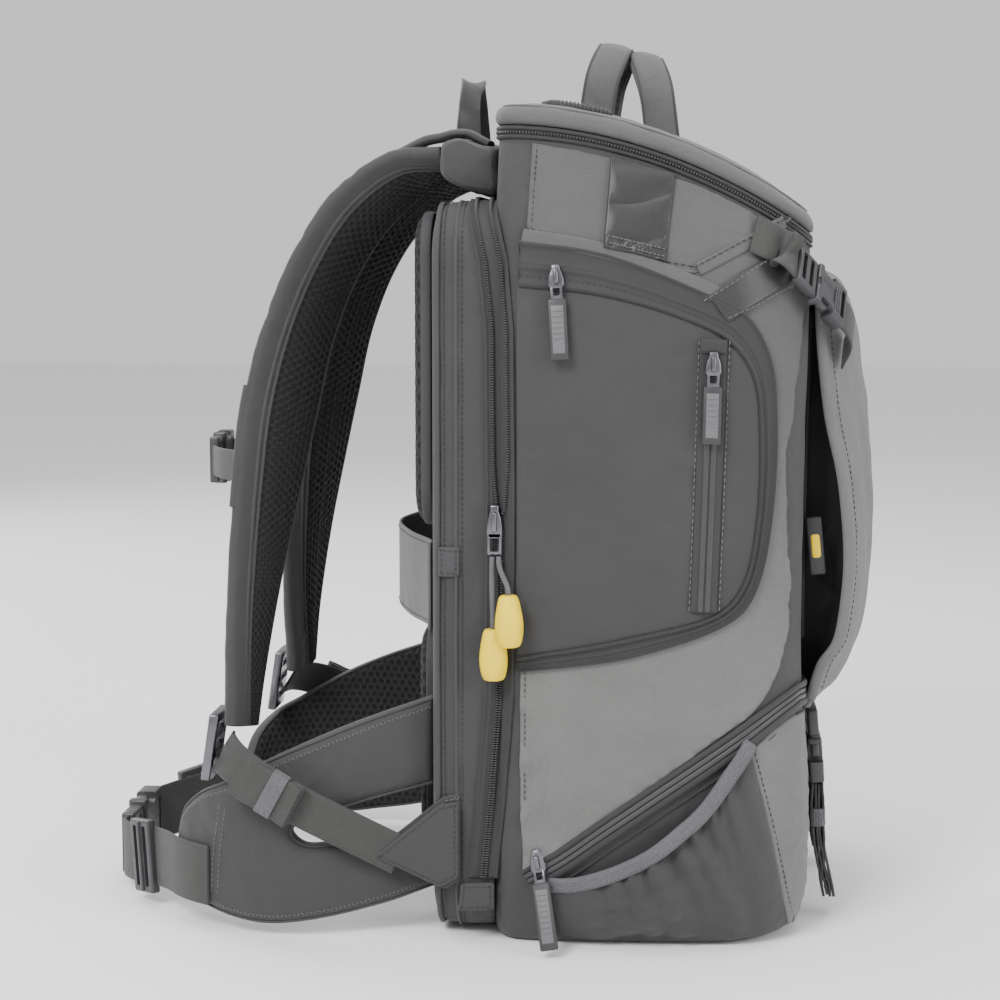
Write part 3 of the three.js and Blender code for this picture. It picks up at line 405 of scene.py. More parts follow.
def woven_threads():
    """Plain weave: two sets of threads that pass over and under each other."""
    inputs = [("Vector", None), ("Threads per metre", 2000.0)]
    tree, given, result = group("woven_threads", inputs, ["Height", "Shade"])
    scaled = scaled_by(tree, given["Vector"], given["Threads per metre"])
    apart = node(tree, "ShaderNodeSeparateXYZ", {0: scaled}).outputs
    warp, weft = (maths(tree, "SINE", maths(tree, "MULTIPLY", apart[k], math.pi)) for k in (0, 1))
    over = maths(tree, "GREATER_THAN", maths(tree, "MULTIPLY", warp, weft), 0.0)
    threads = {0: over, 2: maths(tree, "ABSOLUTE", warp), 3: maths(tree, "ABSOLUTE", weft)}
    height = node(tree, "ShaderNodeMix", threads, data_type="FLOAT")
    tree.links.new(height.outputs[0], result["Height"])
    tree.links.new(noise(tree, scaled, scale=0.35, detail=3.0, roughness=0.7), result["Shade"])
    return tree


def soft_creases():
    """Large and small shade changes and shallow creases of used cloth, in metres of the object."""
    inputs = [("Vector", None), ("Crease size", 0.03), ("Patch size", 0.08)]
    tree, given, result = group("soft_creases", inputs, ["Height", "Patches"])
    creases = maths(tree, "DIVIDE", 1.0, given["Crease size"])
    patches = maths(tree, "DIVIDE", 1.0, given["Patch size"])
    crease = noise(tree, given["Vector"], scale=creases, detail=3.0, roughness=0.55, distortion=0.6)
    patch = noise(tree, given["Vector"], scale=patches, detail=5.0, roughness=0.6)
    tree.links.new(crease, result["Height"])
    tree.links.new(patch, result["Patches"])
    return tree


def knitted_holes():
    """Holes of spacer mesh in staggered rows: 1 in a hole, 0 on the yarn round it."""
    tree, given, result = group("knitted_holes", [("Vector", None), ("Pitch", 0.0056)], ["Hole", "Yarn"])
    across = vector_maths(tree, "MULTIPLY", given["Vector"], (1.0, 1 / 1.732, 1.0))
    scaled = scaled_by(tree, across, maths(tree, "DIVIDE", 1.0, given["Pitch"]))
    nearest = None
    for offset in (0.0, 0.5):
        moved = vector_maths(tree, "ADD", scaled, (offset, offset, 0.0))
        cell = node(tree, "ShaderNodeVectorMath", {0: moved}, operation="FRACTION").outputs[0]
        middle = vector_maths(tree, "SUBTRACT", cell, (0.5, 0.5, 0.0))
        rounder = vector_maths(tree, "MULTIPLY", middle, (1.0, 1.732, 0.0))
        away = node(tree, "ShaderNodeVectorMath", {0: rounder}, operation="LENGTH").outputs["Value"]
        nearest = away if nearest is None else maths(tree, "MINIMUM", nearest, away)
    tree.links.new(spread(tree, nearest, 0.27, 0.4, 1.0, 0.0, "SMOOTHSTEP"), result["Hole"])
    tree.links.new(noise(tree, given["Vector"], scale=1400.0, detail=2.0), result["Yarn"])
    return tree


def ribbed_weave():
    """Webbing: slanting ribs along its length, and rows across it."""
    inputs = [("Vector", None), ("Ribs per metre", 900.0), ("Slant", 0.6)]
    tree, given, result = group("ribbed_weave", inputs, ["Height", "Shade"])
    apart = node(tree, "ShaderNodeSeparateXYZ", {0: given["Vector"]}).outputs
    slanted = maths(tree, "ADD", apart[0], maths(tree, "MULTIPLY", apart[1], given["Slant"]))
    halves = []
    for place in (slanted, apart[1]):
        turns = maths(tree, "MULTIPLY", place, given["Ribs per metre"])
        wave = maths(tree, "SINE", maths(tree, "MULTIPLY", turns, 6.2832))
        halves.append(maths(tree, "MULTIPLY", wave, 0.5))
    tree.links.new(maths(tree, "ADD", *halves), result["Height"])
    tree.links.new(noise(tree, given["Vector"], scale=500.0, detail=3.0), result["Shade"])
    return tree


WEAVE = woven_threads()
CREASES = soft_creases()
HOLES = knitted_holes()
RIBS = ribbed_weave()


def use(tree, made, links):
    placed = tree.nodes.new("ShaderNodeGroup")
    placed.node_tree = made
    for key, value in links.items():
        if isinstance(value, bpy.types.NodeSocket):
            tree.links.new(value, placed.inputs[key])
        else:
            placed.inputs[key].default_value = value
    return placed.outputs


def blank(name, **values):
    """A new material with its shader's own constant values."""
    made = bpy.data.materials.new(name)
    made.use_nodes = True
    tree = made.node_tree
    shader = next(n for n in tree.nodes if n.type == "BSDF_PRINCIPLED")
    for key, value in values.items():
        shader.inputs[key.replace("_", " ").title().replace("Ior", "IOR")].default_value = value
    return made, tree, shader


def tint(colour, factor):
    return tuple(min(1.0, c * factor) for c in colour) + (1.0,)


def shaded(tree, factor, dark, light):
    """A colour between two shades."""
    made = node(tree, "ShaderNodeMix", {0: factor, 6: dark, 7: light}, data_type="RGBA")
    return made.outputs[2]


def woven(
    name, colour, threads=1900.0, rough=0.82, crease=0.8, sheen=0.12, contrast=0.26, depth=0.00012, painted_height_shade=None
):
    """Woven nylon with shade changes and creases; its last argument, when given, is (from height, to height,
    factor) of a painted shade that darkens the colour by the factor above those heights.
    """
    made, tree, shader = blank(name, roughness=rough, sheen_weight=sheen, sheen_roughness=0.45)
    cloth = node(tree, "ShaderNodeUVMap").outputs[0]
    place = node(tree, "ShaderNodeTexCoord").outputs["Object"]
    weave = use(tree, WEAVE, {"Vector": cloth, "Threads per metre": threads})
    soft = use(tree, CREASES, {"Vector": place, "Crease size": 0.035, "Patch size": 0.06})
    fleck = maths(tree, "MULTIPLY_ADD", weave["Shade"], 0.7, maths(tree, "MULTIPLY", soft["Patches"], 0.45))
    fleck = maths(tree, "ADD", fleck, maths(tree, "MULTIPLY", weave["Height"], 0.18))
    share = spread(tree, fleck, 0.42, 0.98)
    base = shaded(tree, share, tint(colour, 1 - contrast), tint(colour, 1 + contrast))
    # Painted shade: between the two heights the colour turns darker by the factor, standing in for the dimmer
    # light up the bag's side.
    if painted_height_shade is not None:
        low, high, factor = painted_height_shade
        height = node(tree, "ShaderNodeSeparateXYZ", {0: place}).outputs[2]
        shades = (tint(colour, (1 + sign * contrast) * factor) for sign in (-1, 1))
        base = shaded(
            tree, spread(tree, height, low, high, kind="SMOOTHSTEP"), base, shaded(tree, share, *shades)
        )
    tree.links.new(base, shader.inputs["Base Color"])
    grain = spread(tree, weave["Shade"], 0.3, 0.7, rough - 0.06, rough + 0.08)
    tree.links.new(grain, shader.inputs["Roughness"])
    fold = bumped(tree, soft["Height"], crease, 0.004)
    tree.links.new(bumped(tree, weave["Height"], 0.7, depth, fold), shader.inputs["Normal"])
    return made


def spacer(name, colour):
    """Knitted spacer mesh; its holes are painted near-black, painted shade inside the holes, darker than the
    black yarn.
    """
    made, tree, shader = blank(name, roughness=0.9, sheen_weight=0.04)
    cloth = node(tree, "ShaderNodeUVMap").outputs[0]
    holes = use(tree, HOLES, {"Vector": cloth, "Pitch": 0.0056})
    yarn = shaded(tree, holes["Yarn"], tint(colour, 0.6), tint(colour, 1.7))
    # Painted shade: each hole takes a near-black colour for the shade down inside it.
    tree.links.new(shaded(tree, holes["Hole"], yarn, (0.003, 0.003, 0.003, 1)), shader.inputs["Base Color"])
    fine = bumped(tree, holes["Yarn"], 0.4, 0.0004)
    rise = maths(tree, "SUBTRACT", 1.0, holes["Hole"])
    tree.links.new(bumped(tree, rise, 0.8, 0.0012, fine), shader.inputs["Normal"])
    tree.links.new(spread(tree, holes["Yarn"], 0.0, 1.0, 0.8, 0.98), shader.inputs["Roughness"])
    return made


def webbed(name, colour, ribs=900.0, rough=0.6, depth=0.00025):
    """Woven webbing with slanting ribs."""
    made, tree, shader = blank(name, roughness=rough, sheen_weight=0.1)
    cloth = node(tree, "ShaderNodeUVMap").outputs[0]
    place = node(tree, "ShaderNodeTexCoord").outputs["Object"]
    weave = use(tree, RIBS, {"Vector": cloth, "Ribs per metre": ribs})
    soft = use(tree, CREASES, {"Vector": place, "Crease size": 0.02, "Patch size": 0.03})
    shades = [maths(tree, "MULTIPLY", weave["Shade"], 0.6), maths(tree, "MULTIPLY", soft["Patches"], 0.4)]
    share = spread(tree, maths(tree, "ADD", *shades), 0.35, 0.65)
    tree.links.new(shaded(tree, share, tint(colour, 0.8), tint(colour, 1.22)), shader.inputs["Base Color"])
    grain = spread(tree, weave["Height"], -1.0, 1.0, rough + 0.12, rough - 0.08)
    tree.links.new(grain, shader.inputs["Roughness"])
    tree.links.new(bumped(tree, weave["Height"], 0.55, depth), shader.inputs["Normal"])
    return made


def moulded(name, colour, rough=0.42, metallic=0.0, depth=0.00006):
    """Moulded plastic or painted metal: fine grain, and shade changes where hands rub it."""
    made, tree, shader = blank(name, roughness=rough, metallic=metallic)
    place = node(tree, "ShaderNodeTexCoord").outputs["Object"]
    fine = noise(tree, place, scale=1 / 0.0012, detail=4.0)
    rub = use(tree, CREASES, {"Vector": place, "Crease size": 0.006, "Patch size": 0.012})
    base = shaded(tree, rub["Patches"], tint(colour, 0.82), tint(colour, 1.25))
    tree.links.new(base, shader.inputs["Base Color"])
    tree.links.new(
        spread(tree, rub["Height"], 0.3, 0.7, rough - 0.08, rough + 0.12), shader.inputs["Roughness"]
    )
    tree.links.new(bumped(tree, fine, 0.5, depth), shader.inputs["Normal"])
    return made


DARK = woven("dark_grey_nylon", (0.034, 0.034, 0.0358))
# Painted shade: this cloth darkens from 0.17 m upwards, to 0.6 of its colour from 0.36 m up, for the dimmer
# light on the upper side.
LIGHT = woven("light_grey_nylon", (0.122, 0.122, 0.1198), sheen=0.16, painted_height_shade=(0.17, 0.36, 0.6))
# Painted shade: a darker copy of the light grey nylon, used for the lid, its piping and the handle.
MID = woven("light_grey_nylon_shaded", (0.08, 0.08, 0.0792), sheen=0.16)
FLAP_CLOTH = woven("flap_grey_nylon", (0.115, 0.115, 0.114), sheen=0.16)
# Partly painted shade: charcoal cloth for the flap's lining and the gusset, darker than the bag's dark cloth
# for the shadow under the flap.
DARKER = woven("charcoal_lining_shaded", (0.014, 0.014, 0.016), crease=0.3)
TAPE = woven("zip_tape_cloth", (0.019, 0.019, 0.0205), threads=1500.0, rough=0.7, crease=0.1)
BINDING = woven("knitted_binding", (0.036, 0.036, 0.039), threads=1200.0, rough=0.75, crease=0.15)
COIL = moulded("nylon_coil", (0.03, 0.03, 0.032), rough=0.38)
MESH = spacer("black_spacer_mesh", (0.0125, 0.0125, 0.013))
WEBBING = webbed("dark_webbing", (0.026, 0.0257, 0.0245))
SATIN = webbed("satin_webbing", (0.016, 0.016, 0.0158), ribs=1500.0, rough=0.36, depth=0.00005)
KEEPER = webbed("lilac_grey_elastic", (0.078, 0.075, 0.084), ribs=600.0, rough=0.7)
PLASTIC = moulded("dark_buckle_plastic", (0.034, 0.034, 0.037), rough=0.36)
METAL = moulded("gunmetal", (0.15, 0.15, 0.165), rough=0.3, metallic=1.0)
YELLOW = moulded("soft_yellow_plastic", (0.85, 0.58, 0.0), rough=0.55, depth=0.0001)
CORD = woven("braided_cord", (0.09, 0.09, 0.095), threads=1100.0, rough=0.75, crease=0.05)
THREAD = woven("pale_sewing_thread", (0.13, 0.13, 0.13), threads=3000.0, rough=0.7, crease=0.05)
DARK_THREAD = woven("dark_sewing_thread", (0.017, 0.017, 0.018), threads=3000.0, rough=0.7, crease=0.05)
RUBBER = moulded("rubber_tab", (0.025, 0.025, 0.027), rough=0.5)
RIBBED = moulded("ribbed_rubber", (0.1, 0.1, 0.105), rough=0.55)
SLOTS = {
    "dark_cloth": (DARK, DARKER, BINDING, KEEPER),
    "light_cloth": (LIGHT, MID, FLAP_CLOTH, CORD),
    "zip_tape": (TAPE, COIL),
    "webbing": (WEBBING, SATIN),
    "spacer_mesh": (MESH,),
}
SLOT_OF = {finish.name: slot for slot, finishes in SLOTS.items() for finish in finishes}

# Hard pieces are modelled in millimetres at the origin, along X with their flat side up, then placed


def bare():
    if bpy.context.object is not None and bpy.context.object.mode != "OBJECT":
        bpy.ops.object.mode_set(mode="OBJECT")
    bpy.ops.object.select_all(action="DESELECT")


def block(low, high):
    low, high = Vector(low), Vector(high)
    bare()
    bpy.ops.mesh.primitive_cube_add(size=1, location=(low + high) / 2)
    made = bpy.context.object
    made.scale = high - low
    bpy.ops.object.transform_apply(location=True, rotation=True, scale=True)
    return made


def apply_last(made):
    bpy.context.view_layer.objects.active = made
    bpy.ops.object.modifier_apply(modifier=made.modifiers[-1].name)
    return made


def rounded(made, width, segments=3, angle=35.0):
    bevel = made.modifiers.new("edges", "BEVEL")
    bevel.width = width
    bevel.segments = segments
    bevel.limit_method = "ANGLE"
    bevel.angle_limit = math.radians(angle)
    return apply_last(made)


def combined(made, others, operation):
    for other in others:
        boolean = made.modifiers.new("shape", "BOOLEAN")
        boolean.operation = operation
        boolean.object = other
        boolean.solver = "EXACT"
        apply_last(made)
        bpy.data.objects.remove(other)
    return made


def cut(made, *others):
    return combined(made, others, "DIFFERENCE")


def joined(made, *others):
    bare()
    for other in (made, *others):
        other.select_set(True)
    bpy.context.view_layer.objects.active = made
    bpy.ops.object.join()
    return made


def turned(profile, count=40):
    """A round piece about Z: rings of (radius, height), drawn out and resized one after the other."""
    bare()
    (radius, height), *rest = profile
    bpy.ops.mesh.primitive_circle_add(
        vertices=count, radius=radius, location=(0, 0, height), fill_type="NOTHING"
    )
    made = bpy.context.object
    bpy.ops.object.transform_apply(location=True)
    bpy.ops.object.mode_set(mode="EDIT")
    bpy.ops.mesh.select_all(action="SELECT")
    for next_radius, next_height in rest:
        bpy.ops.mesh.extrude_region_move(TRANSFORM_OT_translate={"value": (0, 0, next_height - height)})
        scale = next_radius / radius
        bpy.ops.transform.resize(value=(scale, scale, 1), center_override=(0, 0, next_height))
        radius, height = next_radius, next_height
    bpy.ops.mesh.select_all(action="SELECT")
    bpy.ops.mesh.remove_doubles(threshold=0.001)
    bpy.ops.mesh.normals_make_consistent(inside=False)
    bpy.ops.object.mode_set(mode="OBJECT")
    return made


def drawn(low, high, steps):
    """A bar that starts as a block and is drawn out from its +X face by steps of (move, scale)."""
    made = block(low, high)
    bpy.ops.object.mode_set(mode="EDIT")
    bpy.ops.mesh.select_all(action="DESELECT")
    sheet = bmesh.from_edit_mesh(made.data)
    sheet.faces.ensure_lookup_table()
    end = max(sheet.faces, key=lambda face: face.calc_center_median().x)
    end.select_set(True)
    bmesh.update_edit_mesh(made.data)
    for move, scale in steps:
        bpy.ops.mesh.extrude_region_move(TRANSFORM_OT_translate={"value": move})
        if scale != (1, 1, 1):
            bpy.ops.transform.resize(value=scale)
    bpy.ops.object.mode_set(mode="OBJECT")
    return made


def copied(made):
    other = made.copy()
    other.data = made.data.copy()
    bpy.context.scene.collection.objects.link(other)
    return other


def placement(at, along, out):
    """From a piece's own millimetres to its place: X runs along, and its flat side faces out."""
    x = Vector(along).normalized()
    y = Vector(out).cross(x).normalized()
    z = x.cross(y)
    turn = Matrix((x, y, z)).transposed().to_4x4()
    return Matrix.Translation(Vector(metres(at))) @ turn @ Matrix.Scale(MM, 4)


def mounted(made, name, matrix, finish, replaces=(), mirrored=False):
    made.name = made.data.name = name
    made.data.transform(matrix)
    if mirrored:
        made.data.transform(Matrix.Diagonal((1, -1, 1, 1)))
        made.data.flip_normals()
    if finish is not None:
        made.data.materials.clear()
        made.data.materials.append(finish)
    bare()
    made.select_set(True)
    bpy.context.view_layer.objects.active = made
    bpy.ops.object.shade_smooth_by_angle(angle=math.radians(32.0))
    made.select_set(False)
    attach(made, "root")
    if replaces:
        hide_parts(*replaces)
    return made


# Pull cords of the main zip, along the routes of the part's source, each into its barrel toggle

SLIDER_AT = np.array([9.5, -144.7, 256.0])
CORD_DIAMETER = 3.0
CORD_ONE = SLIDER_AT + [
    [2.5, -3.1, -18.6], [2.8, -4.5, -21.7], [3.5, -6.9, -24.2], [4.5, -9.5, -26.4], [5.7, -12.2, -28.5],
    [7, -14.7, -30.5], [8.2, -16.6, -32.6], [9.1, -17.9, -34.8], [9.6, -18.3, -37.2], [9.7, -18.3, -41],
    [9.84, -18.3, -46], [9.98, -18.3, -51], [10.12, -18.3, -56], [10.26, -18.3, -61], [10.4, -18.3, -66],
]
CORD_TWO = SLIDER_AT + [
    [-1.3, -3.1, -18.6], [-1.3, -3.7, -23], [-1.3, -4.3, -26.5], [-1.3, -5, -30], [-1.2, -5.7, -34],
    [-1.1, -6.3, -38], [-0.9, -6.8, -43], [-0.7, -7.1, -48], [-0.5, -7.3, -53], [-0.45, -7.3, -57],
    [-0.4, -7.3, -60.5], [-0.3, -7.3, -66], [-0.2, -7.3, -72], [-0.1, -7.3, -78], [0, -7.3, -84],
    [0.07, -7.3, -88],
]
TOGGLE_LONG = 31.0
TOGGLE_RADIUS = 8.5


def barrel_toggle():
    """A soft barrel, fuller towards its lower end, with the cord's bore through it."""
    half = TOGGLE_LONG / 2
    outside = [(2.0, half), (3.4, half), (4.9, half - 0.5), (5.9, half - 2.2), (6.6, half - 5)]
    outside += [(7.4, half - 9), (8.1, half - 13.5), (8.45, half - 18), (8.3, half - 22), (7.8, half - 25.5)]
    outside += [(7.0, half - 28.6), (6.0, half - 30.4), (4.6, -half), (2.0, -half), (2.0, half)]
    return turned(outside, 48)


def pull_cord(number, route):
    line = even(route, 90)
    tube = sweep(line, FORWARD, ring(CORD_DIAMETER / 2, 12))
    down = unit(route[-1] - route[-5])
    at = route[-1] + down * (4 - TOGGLE_LONG / 2)
    toggle = barrel_toggle()
    # the barrel's axis is its Z, so Z is turned to run up the cord
    matrix = placement(at, np.cross([0, -1, 0], -down), -down)
    mounted(toggle, f"barrel_toggle_{number}", matrix, YELLOW, [f"toggle_{number}"])
    cord = build(f"pull_cord_{number}", [tube], CORD, [f"zip_cord_{number}"])
    points = metres(route)
    float(lengths(points)[-1])


pull_cord(1, CORD_ONE)
pull_cord(2, CORD_TWO)

# The bag's skin: a place q round its left half (0 back, 1 side, 2 front corner, 3 front, 4 middle)

BAG_ROWS = np.array(
    [
        [0, 0.93, 0.92],
        [0.012, 0.96, 0.95],
        [0.04, 0.985, 0.98],
        [0.15, 1, 1],
        [0.3, 0.985, 1],
        [0.42, 0.975, 1],
        [0.62, 0.975, 1],
        [0.8, 0.98, 0.99],
        [0.88, 0.985, 0.955],
        [0.95, 0.99, 0.89],
        [1, 0.99, 0.82],
    ]
)
BAG_FINE = spline(BAG_ROWS)


def rim(x):
    share = np.maximum(0, (np.asarray(x, float) - 8.0) / BAG_DEPTH)
    return BAG_HEIGHT - RIM_DROP * share**2


def quarters(*counts):
    """Places q round the left half, with a number of them for each quarter."""
    return np.append(
        np.concatenate([np.linspace(k, k + 1, count)[:-1] for k, count in enumerate(counts)]), len(counts)
    )


def section(rise):
    return np.interp(rise, BAG_FINE[:, 0], BAG_FINE[:, 1]), np.interp(rise, BAG_FINE[:, 0], BAG_FINE[:, 2])


def plan(q, front, half):
    high = BAG_BACK + front * BAG_DEPTH
    width = half * BAG_HALF_WIDTH * (1 - SIDE_SWELL)
    radius = np.minimum(FRONT_CORNER, 0.6 * width)
    turn = math.pi * (1 + q / 2)
    turn2 = math.pi * (q - 3) / 2
    back = BAG_BACK + BACK_CORNER
    x = np.select(
        [q <= 1, q <= 2, q <= 3],
        [
            back + BACK_CORNER * np.cos(turn), mix(back, high - radius, q - 1),
            high - radius + radius * np.cos(turn2)
        ],
        high,
    )
    y = np.select(
        [q <= 1, q <= 2, q <= 3],
        [BACK_CORNER - width + BACK_CORNER * np.sin(turn), -width, radius - width + radius * np.sin(turn2)],
        mix(radius - width, 0, q - 3),
    )
    share = np.clip((x - BAG_BACK) / (high - BAG_BACK), 0, 1)
    return x, y * (1 + SIDE_SWELL * 1.6 * np.sin(math.pi * np.sqrt(share)))


def skin_point(q, z):
    q, z = np.broadcast_arrays(np.asarray(q, float), np.asarray(z, float))
    x = np.full(q.shape, 100.0)
    for _ in range(4):
        x, y = plan(q, *section(z / rim(x)))
    return np.stack([x, y, z], axis=-1)


def skin(q, z, out=0.0):
    """Places on the skin or off it, and the directions out of it."""
    q, z = np.broadcast_arrays(np.asarray(q, float), np.asarray(z, float))
    dq = skin_point(np.minimum(q + 0.02, 4), z) - skin_point(np.maximum(q - 0.02, 0), z)
    dz = skin_point(q, z + 1.5) - skin_point(q, z - 1.5)
    outs = unit(np.cross(dq, dz))
    return skin_point(q, z) + outs * np.asarray(out)[..., None], outs


def corner_at(z):
    front, half = section(np.asarray(z, float) / rim(150.0))
    return BAG_BACK + front * BAG_DEPTH - FRONT_CORNER, half * BAG_HALF_WIDTH * (
        1 - SIDE_SWELL
    ) - FRONT_CORNER


def girth(x, z):
    """Distance round the bag of a place x on its side, which is x itself up to the front corner."""
    start, _ = corner_at(z)
    return np.where(x > start, start + FRONT_CORNER * np.arcsin(np.clip((x - start) / FRONT_CORNER, 0, 1)), x)


def q_of(s, z):
    start, flat = corner_at(z)
    arc = FRONT_CORNER * math.pi / 2
    back = BAG_BACK + BACK_CORNER
    rear = (math.pi - np.arccos(np.clip((s - back) / BACK_CORNER, -1, 0))) / (math.pi / 2)
    middle = 1 + (s - back) / (start - back)
    rounding = 2 + (s - start) / arc
    ahead = 3 + (s - start - arc) / flat
    return np.clip(np.select([s < back, s < start, s < start + arc], [rear, middle, rounding], ahead), 0, 4)


def on_skin(sz, out=0.0):
    """Places of (girth, height) rows on the left side of the bag."""
    sz = np.asarray(sz, float)
    return skin(q_of(sz[..., 0], sz[..., 1]), sz[..., 1], out)


def photo_line(xz, step=2.0, straight=False):
    """A line of (x, z) places of the side view as even (girth, height) rows."""
    xz = np.asarray(xz, float)
    rows = np.stack([girth(xz[:, 0], xz[:, 1]), xz[:, 1]], axis=1)
    return even(rows, step=step, straight=straight)


def island(outline, thick, edge, extra):
    """A cloth panel on the skin inside a closed line of (girth, height), with a rolled edge."""
    middle = outline.mean(axis=0)
    inward = middle - outline
    reach = np.linalg.norm(inward, axis=1, keepdims=True)
    near = np.array([0, 0.12, 0.35, 0.7, 1.2, 2.0, 3.2, 5.0, 7.5, 10.5])
    steps = np.linspace(0, 1, 26)[1:-1]
    rows, depths = [], []
    for d in near:
        rows.append(outline + inward / reach * np.minimum(d, reach * 0.5))
        depths.append(np.full(len(outline), float(d)))
    last = rows[-1]
    for f in steps:
        rows.append(last + (middle - last) * f)
        depths.append(near[-1] + (reach[:, 0] - near[-1]) * f)
    sz, depth = np.stack(rows), np.stack(depths)
    roll = np.clip(depth / edge, 0, 1)
    out = thick * np.sqrt(np.clip(1 - (1 - roll) ** 2, 0, 1))
    out = np.maximum(out + extra(sz, depth), 0.75 * thick * roll)
    top, _ = on_skin(sz, out)
    below = sz[::3]
    bottom, _ = on_skin(below, -0.8)
    grid = np.concatenate([bottom[::-1], top])
    flat = np.concatenate([below[::-1], sz]).reshape(-1, 2)
    part = lattice(grid, False, True, True)
    flat = np.vstack([flat, flat[: len(outline)].mean(axis=0), flat[-len(outline) :].mean(axis=0)]) * MM
    part.quad_uv, part.tri_uv = flat[part.quads], flat[part.tris]
    return part


def inset(outline, distance):
    """The same closed line, moved inwards."""
    ahead = unit(np.roll(outline, -1, axis=0) - np.roll(outline, 1, axis=0))
    aside = np.stack([-ahead[:, 1], ahead[:, 0]], axis=1)
    middle = outline.mean(axis=0)
    sign = np.sign(np.sum(aside * (middle - outline), axis=1).sum())
    return outline + aside * sign * distance


# Sewing: stitches are gathered by colour and built at the end

SEWN = {"pale": [], "dark": []}


def bars(path, outs, pitch, long, wide, high=1.0, turn=0.0, squares=0.38):
    """A row of small rounded bars along a path."""
    path = np.asarray(path, float)
    run = lengths(path)
    count = max(1, int(run[-1] / pitch))
    s = (np.arange(count) + 0.5) * run[-1] / count
    guides = (path, *rails(path, outs))
    at, along, side, out = (resampled(s, run, guide) for guide in guides)
    along, side, out = unit(along), unit(side), unit(out)
    if turn:
        swing = turn * (-1.0) ** np.arange(count)[:, None]
        ahead = unit(along * np.cos(swing) + side * np.sin(swing))
        along, side = ahead, unit(side * np.cos(swing) - along * np.sin(swing))
    rows = []
    for share, size, lift in ((-0.5, 0.55, -0.28), (-0.28, 1.0, 0.12), (0.28, 1.0, 0.12), (0.5, 0.55, -0.28)):
        for a, b in ((-0.5, -0.35), (0.5, -0.35), (squares, 0.5), (-squares, 0.5)):
            rows.append(at + along * share * long + side * a * wide * size + out * (b * size + lift) * high)
    points = np.stack(rows, axis=1)
    corners = [
        [4 * r + c, 4 * r + (c + 1) % 4, 4 * r + 4 + (c + 1) % 4, 4 * r + 4 + c]
        for r in range(3)
        for c in range(4)
    ]
    corners += [[3, 2, 1, 0], [12, 13, 14, 15]]
    quads = (np.arange(count)[:, None, None] * 16 + np.array(corners)[None]).reshape(-1, 4)
    uv = np.zeros((len(quads), 4, 2))
    uv[:, 1:3, 0] = long * MM
    uv[:, 2:, 1] = wide * MM
    return Part(points.reshape(-1, 3), quads, uv).outward()


def stitches(path, outs, colour="dark", pitch=3.6, long=2.5, wide=0.6, both=False, turn=0.0):
    """A row of stitches along a path; both sides of the bag when asked."""
    part = bars(path, outs, pitch, long, wide, wide, turn)
    SEWN[colour].append(part)
    if both:
        SEWN[colour].append(part.mirrored())


def sewn_on_skin(xz, out, colour="dark", pitch=3.6, **kind):
    path, outs = on_skin(photo_line(xz, 1.5), out)
    stitches(path, outs, colour, pitch, both=True, **kind)


# Main compartment

def main_body():
    heights = np.concatenate(
        [np.linspace(0, 8, 8), np.linspace(8, 24, 8)[1:], np.linspace(24, 400, 110)[1:], [404, 408, 412, 415]]
    )
    q = quarters(9, 60, 26, 30)
    share = heights / heights[-1]
    top = rim(skin_point(q, 470.0)[:, 0])
    z = heights[:, None] + (share[:, None] ** 2) * (top[None] - heights[-1])
    left = skin_point(q[None], z)
    low = np.clip(1 - z / 9, 0, 1)[..., None]
    centre = np.array([100.0, 0, 0])
    left = left + (unit(centre - left) * [1, 1, 0]) * (1 - np.sqrt(1 - low**2)) * 3.0
    soft = ripple(left, 70, 4) * 0.35
    _, outs = skin(q[None], z)
    left = left + outs * soft[..., None] * np.clip(z / 20, 0, 1)[..., None] * 0.8
    left[..., 2] = np.maximum(left[..., 2], 0.0)
    right = left[:, ::-1] * [1, -1, 1]
    grid = np.concatenate([left, right[:, 1:]], axis=1)
    return lattice(grid, False, True, True)


build("bag_body", [main_body()], DARK, ["main_shell"])

SIDE_SEAM = [(30, 481), (29, 455), (28, 427), (26, 383), (25, 300), (25, 171), (25, 90), (27, 47)]
SIDE_CLOTH = SIDE_SEAM + [
    (49, 58), (97, 94), (140, 127), (161, 142), (170, 152), (179, 170), (184, 192), (184, 226)
]
SIDE_CLOTH += [
    (181, 262), (181, 300), (187, 345), (190, 380), (191, 405), (192, 417), (178, 426), (158, 441), (130, 455)
]
SIDE_CLOTH += [(95, 467), (60, 476)]


def creased(sz, depth):
    """Slack cloth beside the front edge, and small puckers along the seams."""
    s, z = sz[..., 0], sz[..., 1]
    slack = np.clip((s - 168) / 26, 0, 1) * np.clip((z - 190) / 40, 0, 1) * np.clip((360 - z) / 50, 0, 1)
    folds = (np.abs(np.sin((z * 0.8 + s * 1.3) / 9.5 + 1.3 * np.sin(z / 31))) ** 0.7 - 0.4) * slack * 2.6
    lower = np.clip((170 - z) / 60, 0, 1) * np.clip((90 - s) / 60, 0, 1)
    folds += np.sin(
        (z * 1.1 - s * 0.35) / 6.0 + np.sin(s / 13)
    ) * lower * 1.5 + ripple(sz, 24, 5) * lower * 0.8
    pucker = ripple(sz, 11, 9) * np.exp(-depth / 8) * 0.7
    covered = np.clip((177 - s) / 6, 0, 1) * np.clip((z - 176) / 6, 0, 1) * np.clip((420 - z) / 6, 0, 1)
    slack_cloth = folds + pucker + ripple(sz, 60, 3) * 0.5 * np.clip(depth / 12, 0, 1)
    return slack_cloth * (1 - covered) - 0.5 * covered


side_outline = photo_line(SIDE_CLOTH + SIDE_CLOTH[:1], 2.0, straight=True)[:-1]
build_pair("side_cloth", [island(side_outline, 1.3, 2.5, extra=creased)], LIGHT)
sewn_on_skin([(x + 3, z) for x, z in SIDE_SEAM[:-1]], 1.4)

